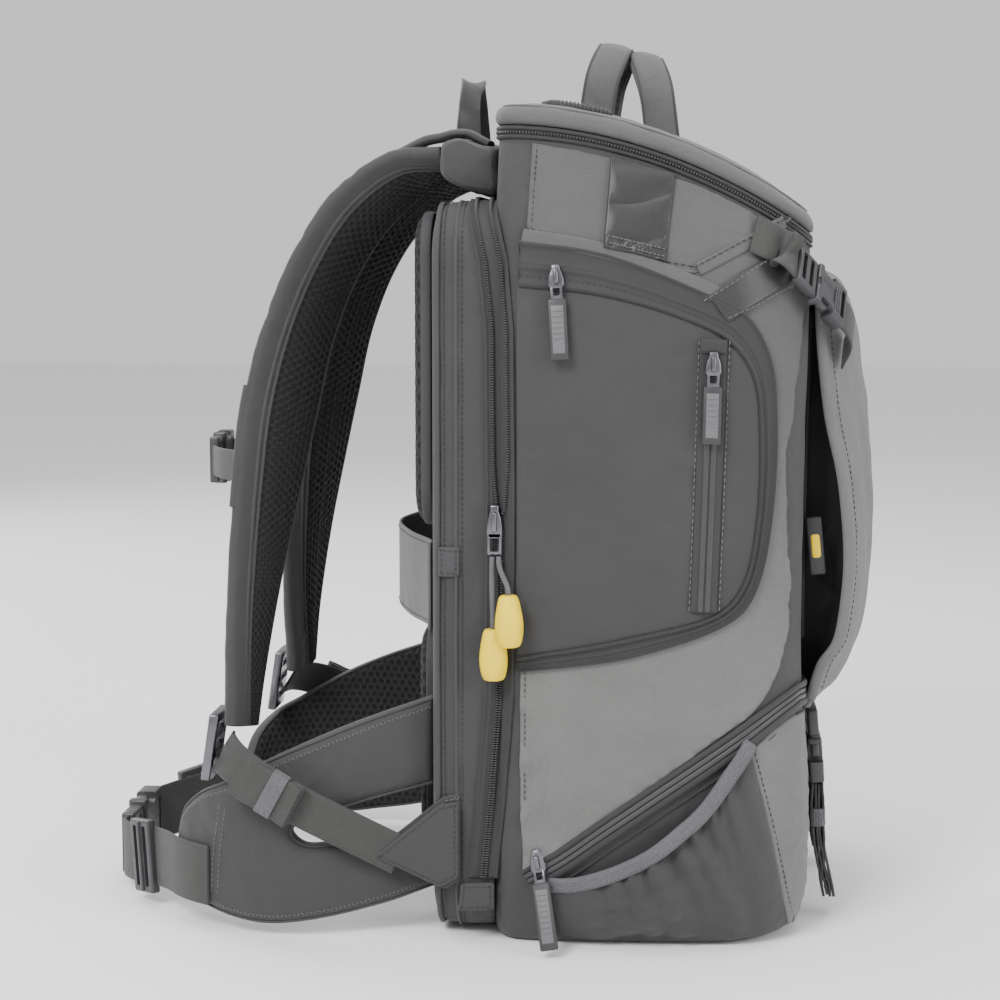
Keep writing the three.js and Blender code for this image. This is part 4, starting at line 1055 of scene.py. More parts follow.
# A second layer over the hem of the upper side, its seams, and a padded edge over the door's zip
HEM = [(26, 428), (45, 424), (71, 418), (100, 410), (126, 405)]
HEM_RISE = [(126, 405), (150, 418), (182, 437)]


def on_side_sweep(xz, profile, out):
    path, outs = on_skin(photo_line(xz), out)
    return sweep(path, outs, profile)


seams = [on_side_sweep(line, ring(0.9, 8, 0.8), 1.25) for line in (HEM, HEM_RISE)]
OVER_ZIP = [(26, 426), (71, 418), (100, 409), (129, 397), (148, 388)]
seams.append(on_side_sweep(OVER_ZIP, rounded_band(9.5, 3.4, 6), 1.5))
seams.append(on_side_sweep([(128, 406.5), (150, 418), (178, 435)], rounded_band(8.0, 2.6, 6), 1.3))
build_pair("side_seam_folds", seams, LIGHT)
sewn_on_skin([(x, z + 3.2) for x, z in HEM], 1.5, pitch=4.2, long=3.0)
sewn_on_skin([(x - 1, z + 2) for x, z in HEM_RISE], 3.1, pitch=4.2, long=3.0)

# Webbing that is sewn on the upper side, and the band that the flap's strap comes out of
PATCH = [(76, 472), (94, 467), (114, 462), (112, 437), (109.5, 411), (91, 415), (73, 419), (74.5, 445)]


def satin_waves(sz, depth):
    folds = np.abs(np.sin(sz[..., 1] / 7.5 + 0.5 * np.sin(sz[..., 0] / 11))) ** 0.6 - 0.5
    return folds * 1.5 * np.clip(depth / 5, 0, 1)


patch_outline = photo_line(PATCH + PATCH[:1], 1.0, straight=True)[:-1]
patch_end = [(73.5, 427), (110, 419), (109.5, 411), (73, 419)]
patch_end_outline = photo_line(patch_end + patch_end[:1], 1.0, straight=True)[:-1]
patches = [
    island(patch_outline, 3.6, 1.0, extra=satin_waves),
    island(patch_end_outline, 4.6, 1.2, extra=lambda sz, d: ripple(sz, 6, 21) * 0.5),
    on_side_sweep(
        [(140, 384), (152, 392), (166, 401), (181, 410), (190, 414)], rounded_band(20, 1.8, 12), 2.4
    ),
]
build_pair("side_webbing", patches, SATIN)
for x0, x1 in ((76, 78), (107.5, 111.5)):
    sewn_on_skin([(x0, 424), (x1, 468)], 2.9, pitch=3.2)
sewn_on_skin([(75, 425.5), (109, 417.5)], 5.3, "pale", pitch=2.4, long=1.7)
sewn_on_skin([(76, 421.5), (108.5, 413.5)], 5.3, "pale", pitch=2.4, long=1.7)
sewn_on_skin([(131, 388), (146, 397), (160, 407), (176, 417)], 3.5, "pale", pitch=3.6)
sewn_on_skin([(145, 378), (160, 385), (174, 393), (186, 399)], 3.5, "pale", pitch=3.6)

# Side doors

DOOR_OUTER = [
    (24, 168), (96, 179), (152, 201), (164, 219), (172, 261), (174, 320), (170, 355), (156, 381), (129, 395)
]
DOOR_OUTER += [(71, 417), (24, 424)]
DOOR_INNER = [
    (24, 178), (84, 189), (143, 206), (156, 223), (163, 261), (164, 308), (160, 343), (147, 363), (118, 378)
]
DOOR_INNER += [(71, 391), (24, 396)]


def zip_band(outer, inner, heights, count, shares):
    """A band between two lines on the skin, with a height for each share across it."""
    a, b = (even(photo_line(line, 2.0), count) for line in (outer, inner))
    shares = np.asarray(shares)[None, :, None]
    sz = a[:, None] + (b - a)[:, None] * shares
    top, _ = on_skin(sz, np.broadcast_to(np.asarray(heights) + 1.0, sz.shape[:2]))
    bottom, _ = on_skin(sz, -0.6)
    return lattice(np.concatenate([top, bottom[:, ::-1]], axis=1), False, True, True)


BAND_SHARES = np.linspace(0, 1, 33)
BAND_HEIGHTS = np.full(len(BAND_SHARES), 0.9)
for at, size, rise in ((0.06, 0.06, 1.9), (0.45, 0.045, 0.8), (0.55, 0.045, 0.8), (0.9, 0.09, 2.6)):
    BAND_HEIGHTS = BAND_HEIGHTS + rise * np.exp(-(((BAND_SHARES - at) / size) ** 2))
BAND_HEIGHTS[0] = BAND_HEIGHTS[-1] = -0.4
build_pair(
    "side_door_zip", [zip_band(DOOR_OUTER, DOOR_INNER, BAND_HEIGHTS, 230, BAND_SHARES)], TAPE, ["door_zip"]
)


def between(outer, inner, share):
    a, b = (even(photo_line(line, 2.0), 200) for line in (outer, inner))
    return a + (b - a) * share


def band_stitches(share, out, colour, **kind):
    path, outs = on_skin(between(DOOR_OUTER, DOOR_INNER, share), out)
    stitches(path, outs, colour, both=True, **kind)


band_stitches(0.2, 1.6, "dark")
band_stitches(0.74, 1.9, "dark")

door_curve = even(np.array(DOOR_INNER, float), step=2.0)
door_edge = np.vstack([door_curve, even([(24, 396), (24.2, 287), (24, 178)], step=2.0, straight=True)[1:-1]])
door_rows = np.stack([girth(door_edge[:, 0], door_edge[:, 1]), door_edge[:, 1]], axis=1)
door_outline = inset(door_rows, -1.2)


def door_puff(sz, depth):
    return 1.6 * np.clip(depth / 40, 0, 1) ** 0.7 + ripple(sz, 45, 12) * 0.35 * np.clip(depth / 14, 0, 1)


build_pair("side_door_panel", [island(door_outline, 2.6, 3.0, extra=door_puff)], DARK, ["side_door"])

# The door's upright pocket zip: a welt of tape between two rows of stitches
WELT = [(137.5, 366), (136.5, 330), (135, 270), (133, 206)]
WELT_OUT = 5.0
build_pair(
    "door_pocket_zip",
    [
        on_side_sweep(WELT, rounded_band(15.5, 1.4, 10), WELT_OUT - 0.2),
        on_side_sweep(WELT[:1] + [(137.2, 358)], rounded_band(15.5, 1.6, 10), WELT_OUT + 0.7),
    ],
    TAPE,
)
coils = [
    on_side_sweep([(x + dx, z) for x, z in WELT[1:]], rounded_band(3.4, 1.2, 4), WELT_OUT + 0.5)
    for dx in (-2.1, 2.1)
]
build_pair("door_pocket_coil", coils, COIL)
for shift in (-8.4, 9.2):
    sewn_on_skin([(x + shift, z) for x, z in WELT], 4.6, "pale", pitch=4.0)

# Lower side: the slanting zip, the light panel round the front's foot, and the stretch pocket

LOW_ZIP = [
    (29, 42), (48, 53), (73, 71), (103, 92), (132, 112), (152, 126), (168, 138), (182, 147), (190, 151)
]
low_zip_line = photo_line(LOW_ZIP, 2.0)
low_zip_line = np.vstack(
    [low_zip_line, even([low_zip_line[-1], (214, 150), (240, 147), (262, 145)], step=2.0)[1:]]
)


def along_low_zip(profile, shift, out):
    ahead = unit(np.gradient(low_zip_line, axis=0))
    line = low_zip_line + np.stack([-ahead[:, 1], ahead[:, 0]], axis=1) * shift
    path, outs = on_skin(line, out)
    return sweep(path, outs, profile)


low_band = [
    along_low_zip(rounded_band(15, 1.8, 12), -1.0, 0.9),
    along_low_zip(rounded_band(3.6, 2.6, 4), 5.4, 2.0),
    along_low_zip(rounded_band(4.2, 2.4, 4), -5.6, 1.9),
    along_low_zip(ring(0.8, 6), -12.0, 0.5),
]
build_pair("lower_side_zip", low_band, TAPE)
build_pair("lower_side_coil", [along_low_zip(rounded_band(3.0, 1.3, 4), s, 2.1) for s in (-1.7, 1.7)], COIL)

FOOT_PANEL = [(161, 121), (171, 82), (178, 50), (184, 20), (186, 6)]
foot_left = photo_line(FOOT_PANEL, 2.0)
foot_middle = corner_at(60.0)[0] + FRONT_CORNER * math.pi / 2 + corner_at(60.0)[1] - 0.6
foot_low = even([foot_left[-1], (foot_middle, 6)], step=2.0, straight=True)[1:]
foot_right = even([(foot_middle, 6), (foot_middle, 133)], step=2.0, straight=True)[1:]
foot_top = even(
    [(foot_middle, 133), (262, 134), (240, 136), (214, 138), (196, 139), (178, 133), tuple(foot_left[0])],
    step=2.0
)[1:-1]
foot_outline = np.vstack([foot_left, foot_low, foot_right, foot_top])
foot_panel = island(
    foot_outline, 1.3, 2.2, extra=lambda sz, d: ripple(sz, 26, 31) * 0.8 * np.clip(d / 10, 0, 1)
)
build_pair("front_foot_cloth", [foot_panel], LIGHT)
sewn_on_skin([(x + 3.2, z) for x, z in FOOT_PANEL], 1.5, pitch=3.8)

POCKET_HEM = [(43, 39), (58, 41), (74, 46), (90, 53), (104, 61), (120, 74), (134, 87), (148, 106), (161, 126)]
POCKET_FOOT = [(50, 5), (75, 3.5), (110, 3.5), (150, 4), (184, 8)]


# place along the hem, lean, width and depth of each pleat
POCKET_PLEATS = [
    (0.2, 0.06, 0.03, 2.8), (0.29, 0.05, 0.02, 1.8), (0.37, 0.1, 0.022, 2.4), (0.48, 0.16, 0.032, 4.6)
]
POCKET_PLEATS += [
    (0.58, 0.16, 0.022, 2.6), (0.66, 0.2, 0.026, 3.2), (0.76, 0.14, 0.026, 2.8), (0.87, 0.1, 0.026, 2.0)
]


def pocket_rows(count=220):
    hem, foot = even(photo_line(POCKET_HEM, 2.0), count), even(photo_line(POCKET_FOOT, 2.0), count)
    return hem, foot


def pocket_out(u, v, gathered=1.0):
    """How far the pocket stands off: a gape at the hem, slack below it, and gathers that run down."""
    ends = np.clip(np.sin(math.pi * u), 0, 1) ** 0.55
    gape = 7.5 * ends * (1 - v) ** 1.2
    belly = 9.5 * ends * np.sin(math.pi * np.clip(v * 0.94 + 0.06, 0, 1)) ** 0.8
    draws = 0.0
    for place, lean, wide, deep in POCKET_PLEATS:
        reach = np.clip(v / 0.08, 0, 1) * (1 - 0.5 * v)
        draws = draws - 1.7 * deep * np.exp(-(((u - place - lean * v) / (wide * (1 + 1.2 * v))) ** 2)) * reach
    gathers = 1.5 * np.sin(u * 88 + 3 * np.sin(u * 17)) * np.exp(-v * 4.5) * np.clip(v / 0.05, 0, 1) * ends
    slack = ripple(
        np.stack(np.broadcast_arrays(u * 6 - v, v * 2.6), axis=-1), 1.3, 17
    ) * 1.5 * np.clip(v / 0.12, 0, 1)
    tack = np.clip((1 - v) / 0.1, 0, 1)
    return 1.0 + (gape + belly + (draws * ends + gathers + slack * ends) * gathered) * tack


def pocket():
    hem, foot = pocket_rows()
    v = np.linspace(0, 1, 84)
    u = np.linspace(0, 1, len(hem))
    sz = hem[:, None] + (foot - hem)[:, None] * v[None, :, None]
    out = pocket_out(u[:, None], v[None])
    top, _ = on_skin(sz, out)
    under, _ = on_skin(sz, np.maximum(out - 1.7, 0.2))
    return lattice(np.concatenate([top, under[:, ::-1]], axis=1), False, True, True)


def pocket_hem():
    hem, _ = pocket_rows()
    u = np.linspace(0, 1, len(hem))
    at, outs = on_skin(hem, pocket_out(u, np.zeros(len(u)), 0.0) + 0.7)
    return at, outs


build_pair("pocket_cloth", [pocket()], DARK, ["stretch_pocket"])
hem_path, hem_outs = pocket_hem()
build_pair("pocket_hem", [sweep(hem_path, hem_outs, rounded_band(9.5, 3.8, 8))], KEEPER)
low_side = rails(hem_path, hem_outs)[1]
low_side = low_side * -np.sign(low_side[:, 2:3])
stitches(hem_path + hem_outs * 2.0 + low_side * 2.6, hem_outs, "pale", 2.2, 1.5, 0.45, True, 1.1)


# Rear section: a padded tray, piped at its back edge

REAR_PROFILE = [
    (-30.0, -70), (-30.0, -40), (-30.0, -22), (-29.8, -13), (-29.0, -8.6), (-27.4, -5.0), (-24.8, -2.2)
]
REAR_PROFILE += [(-21.0, -0.5), (-16.0, 0.0), (-9.0, 0.4), (-2.0, 0.1), (4.0, -0.1), (7.6, -0.7), (8.0, -2.5)]
REAR_PROFILE += [(8.0, -30), (8.0, -70)]


def across_outline(ys, zs, radius, grow=0.0, count=240):
    """A rounded outline across the bag, as (y, z) places."""
    r = max(1.0, radius + grow)
    left, right, low, high = ys[0] - grow + r, ys[1] + grow - r, zs[0] - grow + r, zs[1] + grow - r
    rows = []
    for y, z, start in ((right, low, -0.5), (right, high, 0.0), (left, high, 0.5), (left, low, 1.0)):
        turn = start * math.pi + np.linspace(0, math.pi / 2, 16)
        rows.append(np.stack([y + r * np.cos(turn), z + r * np.sin(turn)], axis=1))
    return even(np.vstack(rows), count=count, closed=True, straight=True)


def rear_outline(grow, count=360):
    return across_outline(
        (-REAR_HALF_WIDTH, REAR_HALF_WIDTH), (REAR_LOW, REAR_HIGH), REAR_CORNER, grow, count
    )


def rear_body():
    rows = []
    for x, grow in even([(x, 0, g) for x, g in REAR_PROFILE], 70, straight=True)[:, [0, 2]]:
        outline = rear_outline(grow)
        rows.append(np.column_stack([np.full(len(outline), x), outline]))
    grid = np.stack(rows)
    grid[..., 1:] *= (
        1 + 0.0028 * ripple(grid, 48, 41) * np.clip((grid[..., 0:1] + 30) / 6, 0, 1)[..., 0]
    )[..., None]
    grid[..., 2] = np.maximum(grid[..., 2], 0.4)
    return lattice(grid, False, True, True)


def round_rear(x, grow, profile):
    outline = rear_outline(grow, 420)
    path = np.column_stack([np.full(len(outline), x), outline])
    path[:, 2] = np.maximum(path[:, 2], 1.6)
    return sweep(path, FORWARD, profile, loop=True)


build("rear_body", [rear_body()], DARK, ["rear_section"])
build("rear_piping", [round_rear(-25.5, -1.2, ring(1.7)), round_rear(-14.0, 0.4, ring(1.1, 8))], BINDING)
for seam_x, grow in ((-21.5, 0.3), (-10.5, 0.7)):
    row = rear_outline(grow, 420)
    row = row[row[:, 1] > 6]
    row_outs = np.column_stack([np.zeros(len(row)), row[:, 0], np.clip(row[:, 1] - 420, 0, 99) * 5])
    stitches(np.column_stack([np.full(len(row), seam_x), row]), unit(row_outs))

# The zip that closes the rear section, open above its slider and closed below it

ZIP_MIDDLE = np.array(
    [(30, 1), (89, 7), (151, 12), (271, 13), (372, 12), (412, 8), (439, 1), (470, -1)], float
)
ZIP_FOOT = 40.0


def zip_stations(start=ZIP_FOOT, end=None, step=2.0):
    """Places along the rear section's outline, from the left foot of the zip to the top's middle."""
    outline = rear_outline(0.3, 3000)
    left = outline[(outline[:, 0] <= 0) & (outline[:, 1] >= start)][::-1]
    if end is not None:
        left = left[left[:, 1] <= end]
    return even(np.column_stack([left, left[:, :1] * 0]), step=step, straight=True)[:, :2]


def main_zip_at(stations, offset, height):
    """Places on the zip, in front of its middle line and off the bag."""
    y, z, offset = np.broadcast_arrays(stations[..., 0], stations[..., 1], offset)
    ahead = np.gradient(stations, axis=0)
    outs = unit(np.stack(np.broadcast_arrays(z * 0, -ahead[..., 1], ahead[..., 0]), axis=-1))
    x = np.interp(z, ZIP_MIDDLE[:, 0], ZIP_MIDDLE[:, 1]) + offset
    side, _ = on_skin(np.stack([np.maximum(x, 8.4), np.minimum(z, 424.0)], axis=-1))
    pushed = -np.maximum(np.abs(y), np.abs(side[..., 1]) + 0.3)
    y = np.where((x > 8.4) & (z < 425), pushed, y)
    return np.stack([x, y, z], axis=-1) + outs * np.asarray(height)[..., None], outs


def whole_band(left):
    """The left half of a band and its mirrored right half as one grid."""
    return np.concatenate([left, (left * [1, -1, 1])[::-1][1:]], axis=0)


def main_zip_band():
    stations = zip_stations()
    offsets = np.linspace(-9, 9, 37)
    heights = np.full(len(offsets), 1.1)
    for at, size, rise in ((-8.2, 1.0, 0.9), (8.0, 1.1, 1.1), (-5.2, 0.7, 0.35), (5.2, 0.7, 0.35)):
        heights = heights + rise * np.exp(-(((offsets - at) / size) ** 2))
    heights[0] = heights[-1] = 0.2
    top, outs = main_zip_at(
        stations[:, None], offsets[None], np.broadcast_to(heights, (len(stations), len(offsets)))
    )
    under, _ = main_zip_at(stations[:, None], offsets[None], np.full((len(stations), len(offsets)), -0.3))
    left = np.concatenate([top, under[:, ::-1]], axis=1)
    return lattice(whole_band(left), False, True, True)


def zip_coils():
    """Rows of nylon loops: two apart where the zip is open, side by side where it is closed."""
    made = []
    shut = zip_stations(end=SLIDER_AT[2] - 2)
    opened = zip_stations(start=SLIDER_AT[2] + 6)
    for sign in (-1, 1):
        path, outs = main_zip_at(shut, sign * 1.05, np.full(len(shut), 1.9))
        made.append(bars(path, outs, 1.5, 1.15, 2.5, 1.8, squares=0.45))
        apart = np.clip((lengths(opened)) / 30, 0, 1) ** 0.6 * 2.9 + 1.5
        path, outs = main_zip_at(opened, sign * apart, np.full(len(opened), 1.9))
        made.append(bars(path, outs, 1.5, 1.15, 2.5, 1.8, squares=0.45))
    return made + [part.mirrored() for part in made]


build("rear_zip_tape", [main_zip_band()], TAPE, ["main_zip"])
build("rear_zip_coil", zip_coils(), COIL)

# Lid: a zip in the band on the rim, and a padded panel with a rolled edge

RIM_FRONT, RIM_HALF = 0.99, 0.82
LID_MIDDLE = BAG_BACK + RIM_FRONT * BAG_DEPTH / 2


def lid_outline(grow=0.0):
    q = quarters(12, 64, 34, 34)
    x, y = plan(q, RIM_FRONT, RIM_HALF)
    left = np.stack([x, y], axis=1)
    back = np.stack([np.full(28, left[0, 0]), np.linspace(-left[0, 1], left[0, 1], 30)[1:-1]], axis=1)
    outline = np.vstack([left, (left * [1, -1])[::-1][1:], back])
    edge = unit(np.roll(outline, -1, axis=0) - np.roll(outline, 1, axis=0))
    return outline + np.stack([edge[:, 1], -edge[:, 0]], axis=1) * grow


def lid_line(grow, height, share=1.0):
    outline = lid_outline(grow)
    x, y = LID_MIDDLE + share * (outline[:, 0] - LID_MIDDLE), share * outline[:, 1]
    return np.stack([x, y, rim(x) + height], axis=1)


def lid_zip_band():
    profile = [(-3, 0.3), (0.6, 0.3), (1.5, 0.9), (1.9, 1.7), (1.5, 2.5), (0.7, 2.9), (0.5, 4.2), (0.7, 5.5)]
    profile += [(1.5, 5.9), (1.9, 6.7), (1.5, 7.5), (0.6, 8.0), (-3, 8.0)]
    profile = even([(g, h, 0) for g, h in profile], 30)[:, :2]
    return lattice(np.stack([lid_line(g, h) for g, h in profile], axis=1), True, True)


def flat_outs(line):
    edge = unit((np.roll(line, -1, axis=0) - np.roll(line, 1, axis=0)) * [1, 1, 0])
    return np.stack([edge[:, 1], -edge[:, 0], edge[:, 0] * 0], axis=1)


build("lid_zip_tape", [lid_zip_band()], TAPE, ["lid_zip"])
coil_line = lid_line(0.9, 4.2)
build("lid_zip_coil", [bars(coil_line, flat_outs(coil_line), 1.9, 1.2, 1.9, 1.5, squares=0.45)], COIL)

LID_ROWS = [
    (0.93, 8.7), (0.985, 8.7), (1.006, 9.2), (1.017, 10.6), (1.021, 12.4), (1.02, 14.4), (1.014, 16.4)
]
LID_ROWS += [
    (1.002, 18.2), (0.986, 19.4), (0.972, 19.7), (0.962, 19.3), (0.952, 20.0), (0.93, 21.0), (0.89, 21.8)
]
LID_ROWS += [(0.8, 23.0), (0.65, 24.2), (0.5, 24.9), (0.34, 25.3), (0.18, 25.5), (0.04, 25.6)]


def lid_panel():
    rows = even([(s * 120, 0, h) for s, h in LID_ROWS], 64)
    grid = np.stack([lid_line(0.0, h, s / 120) for s, _, h in rows])
    grid[..., 2] += ripple(grid, 42, 51) * 0.5 * np.clip((grid[..., 2] - rim(grid[..., 0]) - 12) / 8, 0, 1)
    return lattice(grid, False, True, True)


# The lid and its piping take the darker copy of the light grey nylon, painted shade.
lid = build("lid_panel", [lid_panel()], MID, ["top_lid"])
build("lid_seam_piping", [sweep(lid_line(0, 19.9, 0.972), UP, ring(0.9, 8), loop=True)], MID)

# Handle: two padded rolls that part at their feet, piped along both edges


def padded_profile(width, thick, power=2.6, count=32):
    turn = np.arange(count) * 2 * math.pi / count
    c, s = np.cos(turn), np.sin(turn)
    return np.stack(
        [
            width / 2 * np.sign(c) * np.abs(c) ** (2 / power),
            thick / 2 * np.sign(s) * np.abs(s) ** (2 / power)
        ], axis=1
    )


HANDLE_X = 85.0
HANDLE_FOOT, HANDLE_GRIP, HANDLE_SPAN = 21.0, 9.5, 52.0
HANDLE_WIDE, HANDLE_PAD = 21.0, 9.0
HANDLE_TOP = 25.3 + 47


def handle_line(sign):
    foot, grip = HANDLE_X + sign * HANDLE_FOOT, HANDLE_X + sign * HANDLE_GRIP
    low, high = float(rim(foot)) + 18.3, float(rim(grip)) + HANDLE_TOP - HANDLE_PAD / 2
    half = [(foot, -HANDLE_SPAN, low), (mix(foot, grip, 0.4), -HANDLE_SPAN, mix(low, high, 0.6))]
    half += [(mix(foot, grip, 0.9), -0.75 * HANDLE_SPAN, mix(low, high, 0.92))]
    return even(half + [(grip, 0, high)] + [(x, -y, z) for x, y, z in half[::-1]], 120)


def handle_parts():
    made = []
    across = np.array([1, 0, -0.2])
    for sign in (-1, 1):
        line = handle_line(sign)
        made.append(sweep(line, LEFT, padded_profile(HANDLE_WIDE, HANDLE_PAD, 2.5), across=across))
        for edge in (-0.5, 0.5):
            for lift in (-0.26, 0.26):
                cord = ring(0.9, 8) + [edge * HANDLE_WIDE * 0.93, lift * HANDLE_PAD]
                made.append(sweep(line, LEFT, cord, across=across, finish=1))
        under = padded_profile(HANDLE_WIDE * 0.8, 2.4, 2.2) + [0, HANDLE_PAD * 0.4]
        made.append(sweep(line, LEFT, under, across=across, finish=2))
    return made


# The handle's cloth is the darker copy of the light grey nylon, painted shade.
handle = build("padded_handle", handle_parts(), [MID, BINDING, MESH], ["top_handle"])

# Front flap: an arched padded sheet with a dark lining, sewn on along its lower edge; the lining's charcoal
# is partly painted shade for the shadow under the flap

FLAP_ROWS = [(0, 0, 0.11, 0.9), (0.035, 0.12, 0.6, 0.95), (0.1, 0.35, 0.79, 0.98), (0.19, 0.85, 0.93, 1)]
FLAP_ROWS += [(0.34, 1, 1, 1), (0.5, 0.85, 0.99, 1), (0.68, 0.42, 0.9, 1), (0.86, 0.16, 0.7, 0.97)]
FLAP_ROWS += [(0.96, 0.1, 0.5, 0.92), (1, 0.05, 0.18, 0.88)]
FLAP_LOW, FLAP_HIGH, FLAP_WIDE = 137.0, 408.0, 95.0
FLAP_THICK, FLAP_EDGE, FLAP_BULGE = 5.0, 25.0, 48.0
FRONT_RIM = BAG_HEIGHT - RIM_DROP


def front_x(z):
    return BAG_BACK + section(np.asarray(z, float) / FRONT_RIM)[0] * BAG_DEPTH


def flap_sheet(s, rise, out):
    """Places on the flap: s runs from its left edge to its right one, out is 0 inside and 1 outside."""
    table = spline(np.array(FLAP_ROWS))
    edge, middle, half = (np.interp(rise, table[:, 0], table[:, k]) for k in (1, 2, 3))
    z = mix(FLAP_LOW, FLAP_HIGH, rise)
    bow = np.cos(s * math.pi / 2)
    x = front_x(z) + 0.3 + mix(edge * FLAP_EDGE, middle * FLAP_BULGE - FLAP_THICK, bow) + out * FLAP_THICK
    return np.stack(np.broadcast_arrays(x, s * half * FLAP_WIDE, z), axis=-1)


def flap_parts():
    rise = np.linspace(0, 1, 110)[:, None]
    turn = np.linspace(-math.pi / 2, math.pi / 2, 5)[1:-1]
    s_out = np.linspace(-0.975, 0.975, 84)
    s = np.concatenate([s_out, 0.975 + 0.025 * np.cos(turn), s_out[::-1], -0.975 - 0.025 * np.cos(turn)])
    out = np.concatenate([np.ones(84), 0.5 - 0.5 * np.sin(turn), np.zeros(84), 0.5 + 0.5 * np.sin(turn)])
    grid = flap_sheet(s[None], rise, out[None])
    depth = np.minimum(1 - np.abs(s)[None], np.minimum(rise * 2, (1 - rise) * 2))
    grid[..., 0] += ripple(grid, 55, 61) * 0.9 * np.clip(depth / 0.15, 0, 1) * (out[None] > 0.6)
    shell = lattice(grid, False, True, True)
    inner_s = np.linspace(-0.93, 0.93, 50)
    sheet = flap_sheet(inner_s[None], np.linspace(0.05, 0.985, 90)[:, None], -0.02)
    lining = np.concatenate([sheet, (sheet - [0.5, 0, 0])[:, ::-1]], axis=1)
    return [shell, lattice(lining, False, True, True, 1)]


flap = build("flap_panel", flap_parts(), [FLAP_CLOTH, DARKER], ["front_flap"])


def flap_run(s, low=0.04, high=0.97, out=1.0, lift=0.4, count=160):
    rise = np.linspace(low, high, count)
    return flap_sheet(np.full(count, s), rise, out) + [lift, 0, 0]


for seam in (-0.9, 0.9):
    stitches(flap_run(seam), FORWARD)
build(
    "flap_edge_binding",
    [
        sweep(flap_run(s, 0.02, 0.985, 0.5, 0), FORWARD, padded_profile(4.2, FLAP_THICK + 1.6, 2.2))
        for s in (-0.985, 0.985)
    ],
    FLAP_CLOTH,
)


# Stuffed panels of any outline, and spacer mesh with its holes pressed in


def distance_to(points, loops):
    away = np.full(len(points), 1e9)
    for loop in loops:
        for a, b in zip(loop, np.roll(loop, -1, axis=0)):
            edge = b - a
            t = np.clip((points - a) @ edge / max(edge @ edge, 1e-9), 0, 1)
            away = np.minimum(away, np.linalg.norm(points - a - t[:, None] * edge, axis=1))
    return away


def is_inside(points, loop):
    found = np.zeros(len(points), bool)
    for (ax, ay), (bx, by) in zip(loop, np.roll(loop, -1, axis=0)):
        if ay != by:
            crossing = (ay > points[:, 1]) != (by > points[:, 1])
            found ^= crossing & (points[:, 0] < (bx - ax) * (points[:, 1] - ay) / (by - ay) + ax)
    return found


def pillow(outline, place, thick, step=3.0, edge=6.0, holes=(), finishes=(0, 0), puff=None):
    """A stuffed panel inside a flat outline, with its holes left open; place(uv, out) puts it in space."""
    loops = [even(loop, step=step, closed=True, straight=True) for loop in (outline, *holes)]
    rings = [np.vstack(loops)]
    rim_count = len(rings[0])
    for depth in (0.12 * edge, 0.32 * edge, 0.6 * edge):
        for loop in loops:
            ahead = unit(np.roll(loop, -1, axis=0) - np.roll(loop, 1, axis=0))
            for sign in (-1, 1):
                rings.append(loop + np.stack([-ahead[:, 1], ahead[:, 0]], axis=1) * sign * depth)
    low, high = loops[0].min(axis=0), loops[0].max(axis=0)
    rows, columns = np.arange(low[1], high[1], step * 0.866), np.arange(low[0], high[0], step)
    grid = np.stack(np.meshgrid(columns, rows), axis=-1)
    grid[1::2, :, 0] += step / 2
    near = np.vstack(rings[1:])
    near_away = distance_to(near, loops)
    far = grid.reshape(-1, 2)
    far_away = distance_to(far, loops)
    near_kept = near[(near_away > 0.1 * edge) & is_inside(near, loops[0])]
    far_kept = far[(far_away > 0.6 * edge + 0.45 * step) & is_inside(far, loops[0])]
    points = np.vstack([rings[0], near_kept, far_kept])
    points = points + np.random.RandomState(7).uniform(-1, 1, points.shape) * 1e-4
    for hole in loops[1:]:
        drop = is_inside(points, hole)
        drop[:rim_count] = False
        points = points[~drop]
    links, start = [], 0
    for loop in loops:
        links += [(start + k, start + (k + 1) % len(loop)) for k in range(len(loop))]
        start += len(loop)
    flat, _, faces, _, _, _ = delaunay_2d_cdt([Vector(p) for p in points], links, [], 0, 1e-7)
    flat = np.array([tuple(p) for p in flat])
    faces = np.array(faces)
    middle = flat[faces].mean(axis=1)
    kept = is_inside(middle, loops[0])
    for hole in loops[1:]:
        kept &= ~is_inside(middle, hole)
    faces = faces[kept]
    a, b, c = (flat[faces[:, k]] for k in range(3))
    clockwise = (b[:, 0] - a[:, 0]) * (c[:, 1] - a[:, 1]) - (b[:, 1] - a[:, 1]) * (c[:, 0] - a[:, 0]) < 0
    faces[clockwise] = faces[clockwise][:, ::-1]
    away = distance_to(flat, loops)
    on_rim = away < 0.02
    roll = np.clip(away / edge, 0, 1)
    rise = thick / 2 * np.sqrt(1 - (1 - roll) ** 2)
    top = rise + (puff(flat, away, 1) if puff is not None else 0) * ~on_rim
    under = -rise - (puff(flat, away, -1) if puff is not None else 0) * ~on_rim
    below = np.where(on_rim, np.arange(len(flat)), len(flat) + np.cumsum(~on_rim) - 1)
    space = np.vstack([place(flat, np.where(on_rim, 0, top)), place(flat[~on_rim], under[~on_rim])])
    tris = np.vstack([faces, below[faces][:, ::-1]])
    uv = np.vstack([flat[faces], flat[faces][:, ::-1]]) * MM
    finish = np.repeat(finishes, len(faces))
    return Part(space, np.zeros((0, 4), int), np.zeros((0, 4, 2)), tris, uv, finish).outward()


MESH_PITCH = 5.6


def holes_at(u, v):
    """1 in a hole of the spacer mesh and 0 on its yarn, in step with its material."""
    away = 9.0
    for offset in (0.0, 0.5):
        a = (u / MESH_PITCH + offset) % 1 - 0.5
        b = ((v / MESH_PITCH / 1.732 + offset) % 1 - 0.5) * 1.732
        away = np.minimum(away, np.hypot(a, b))
    t = np.clip((0.4 - away) / 0.13, 0, 1)
    return t * t * (3 - 2 * t)


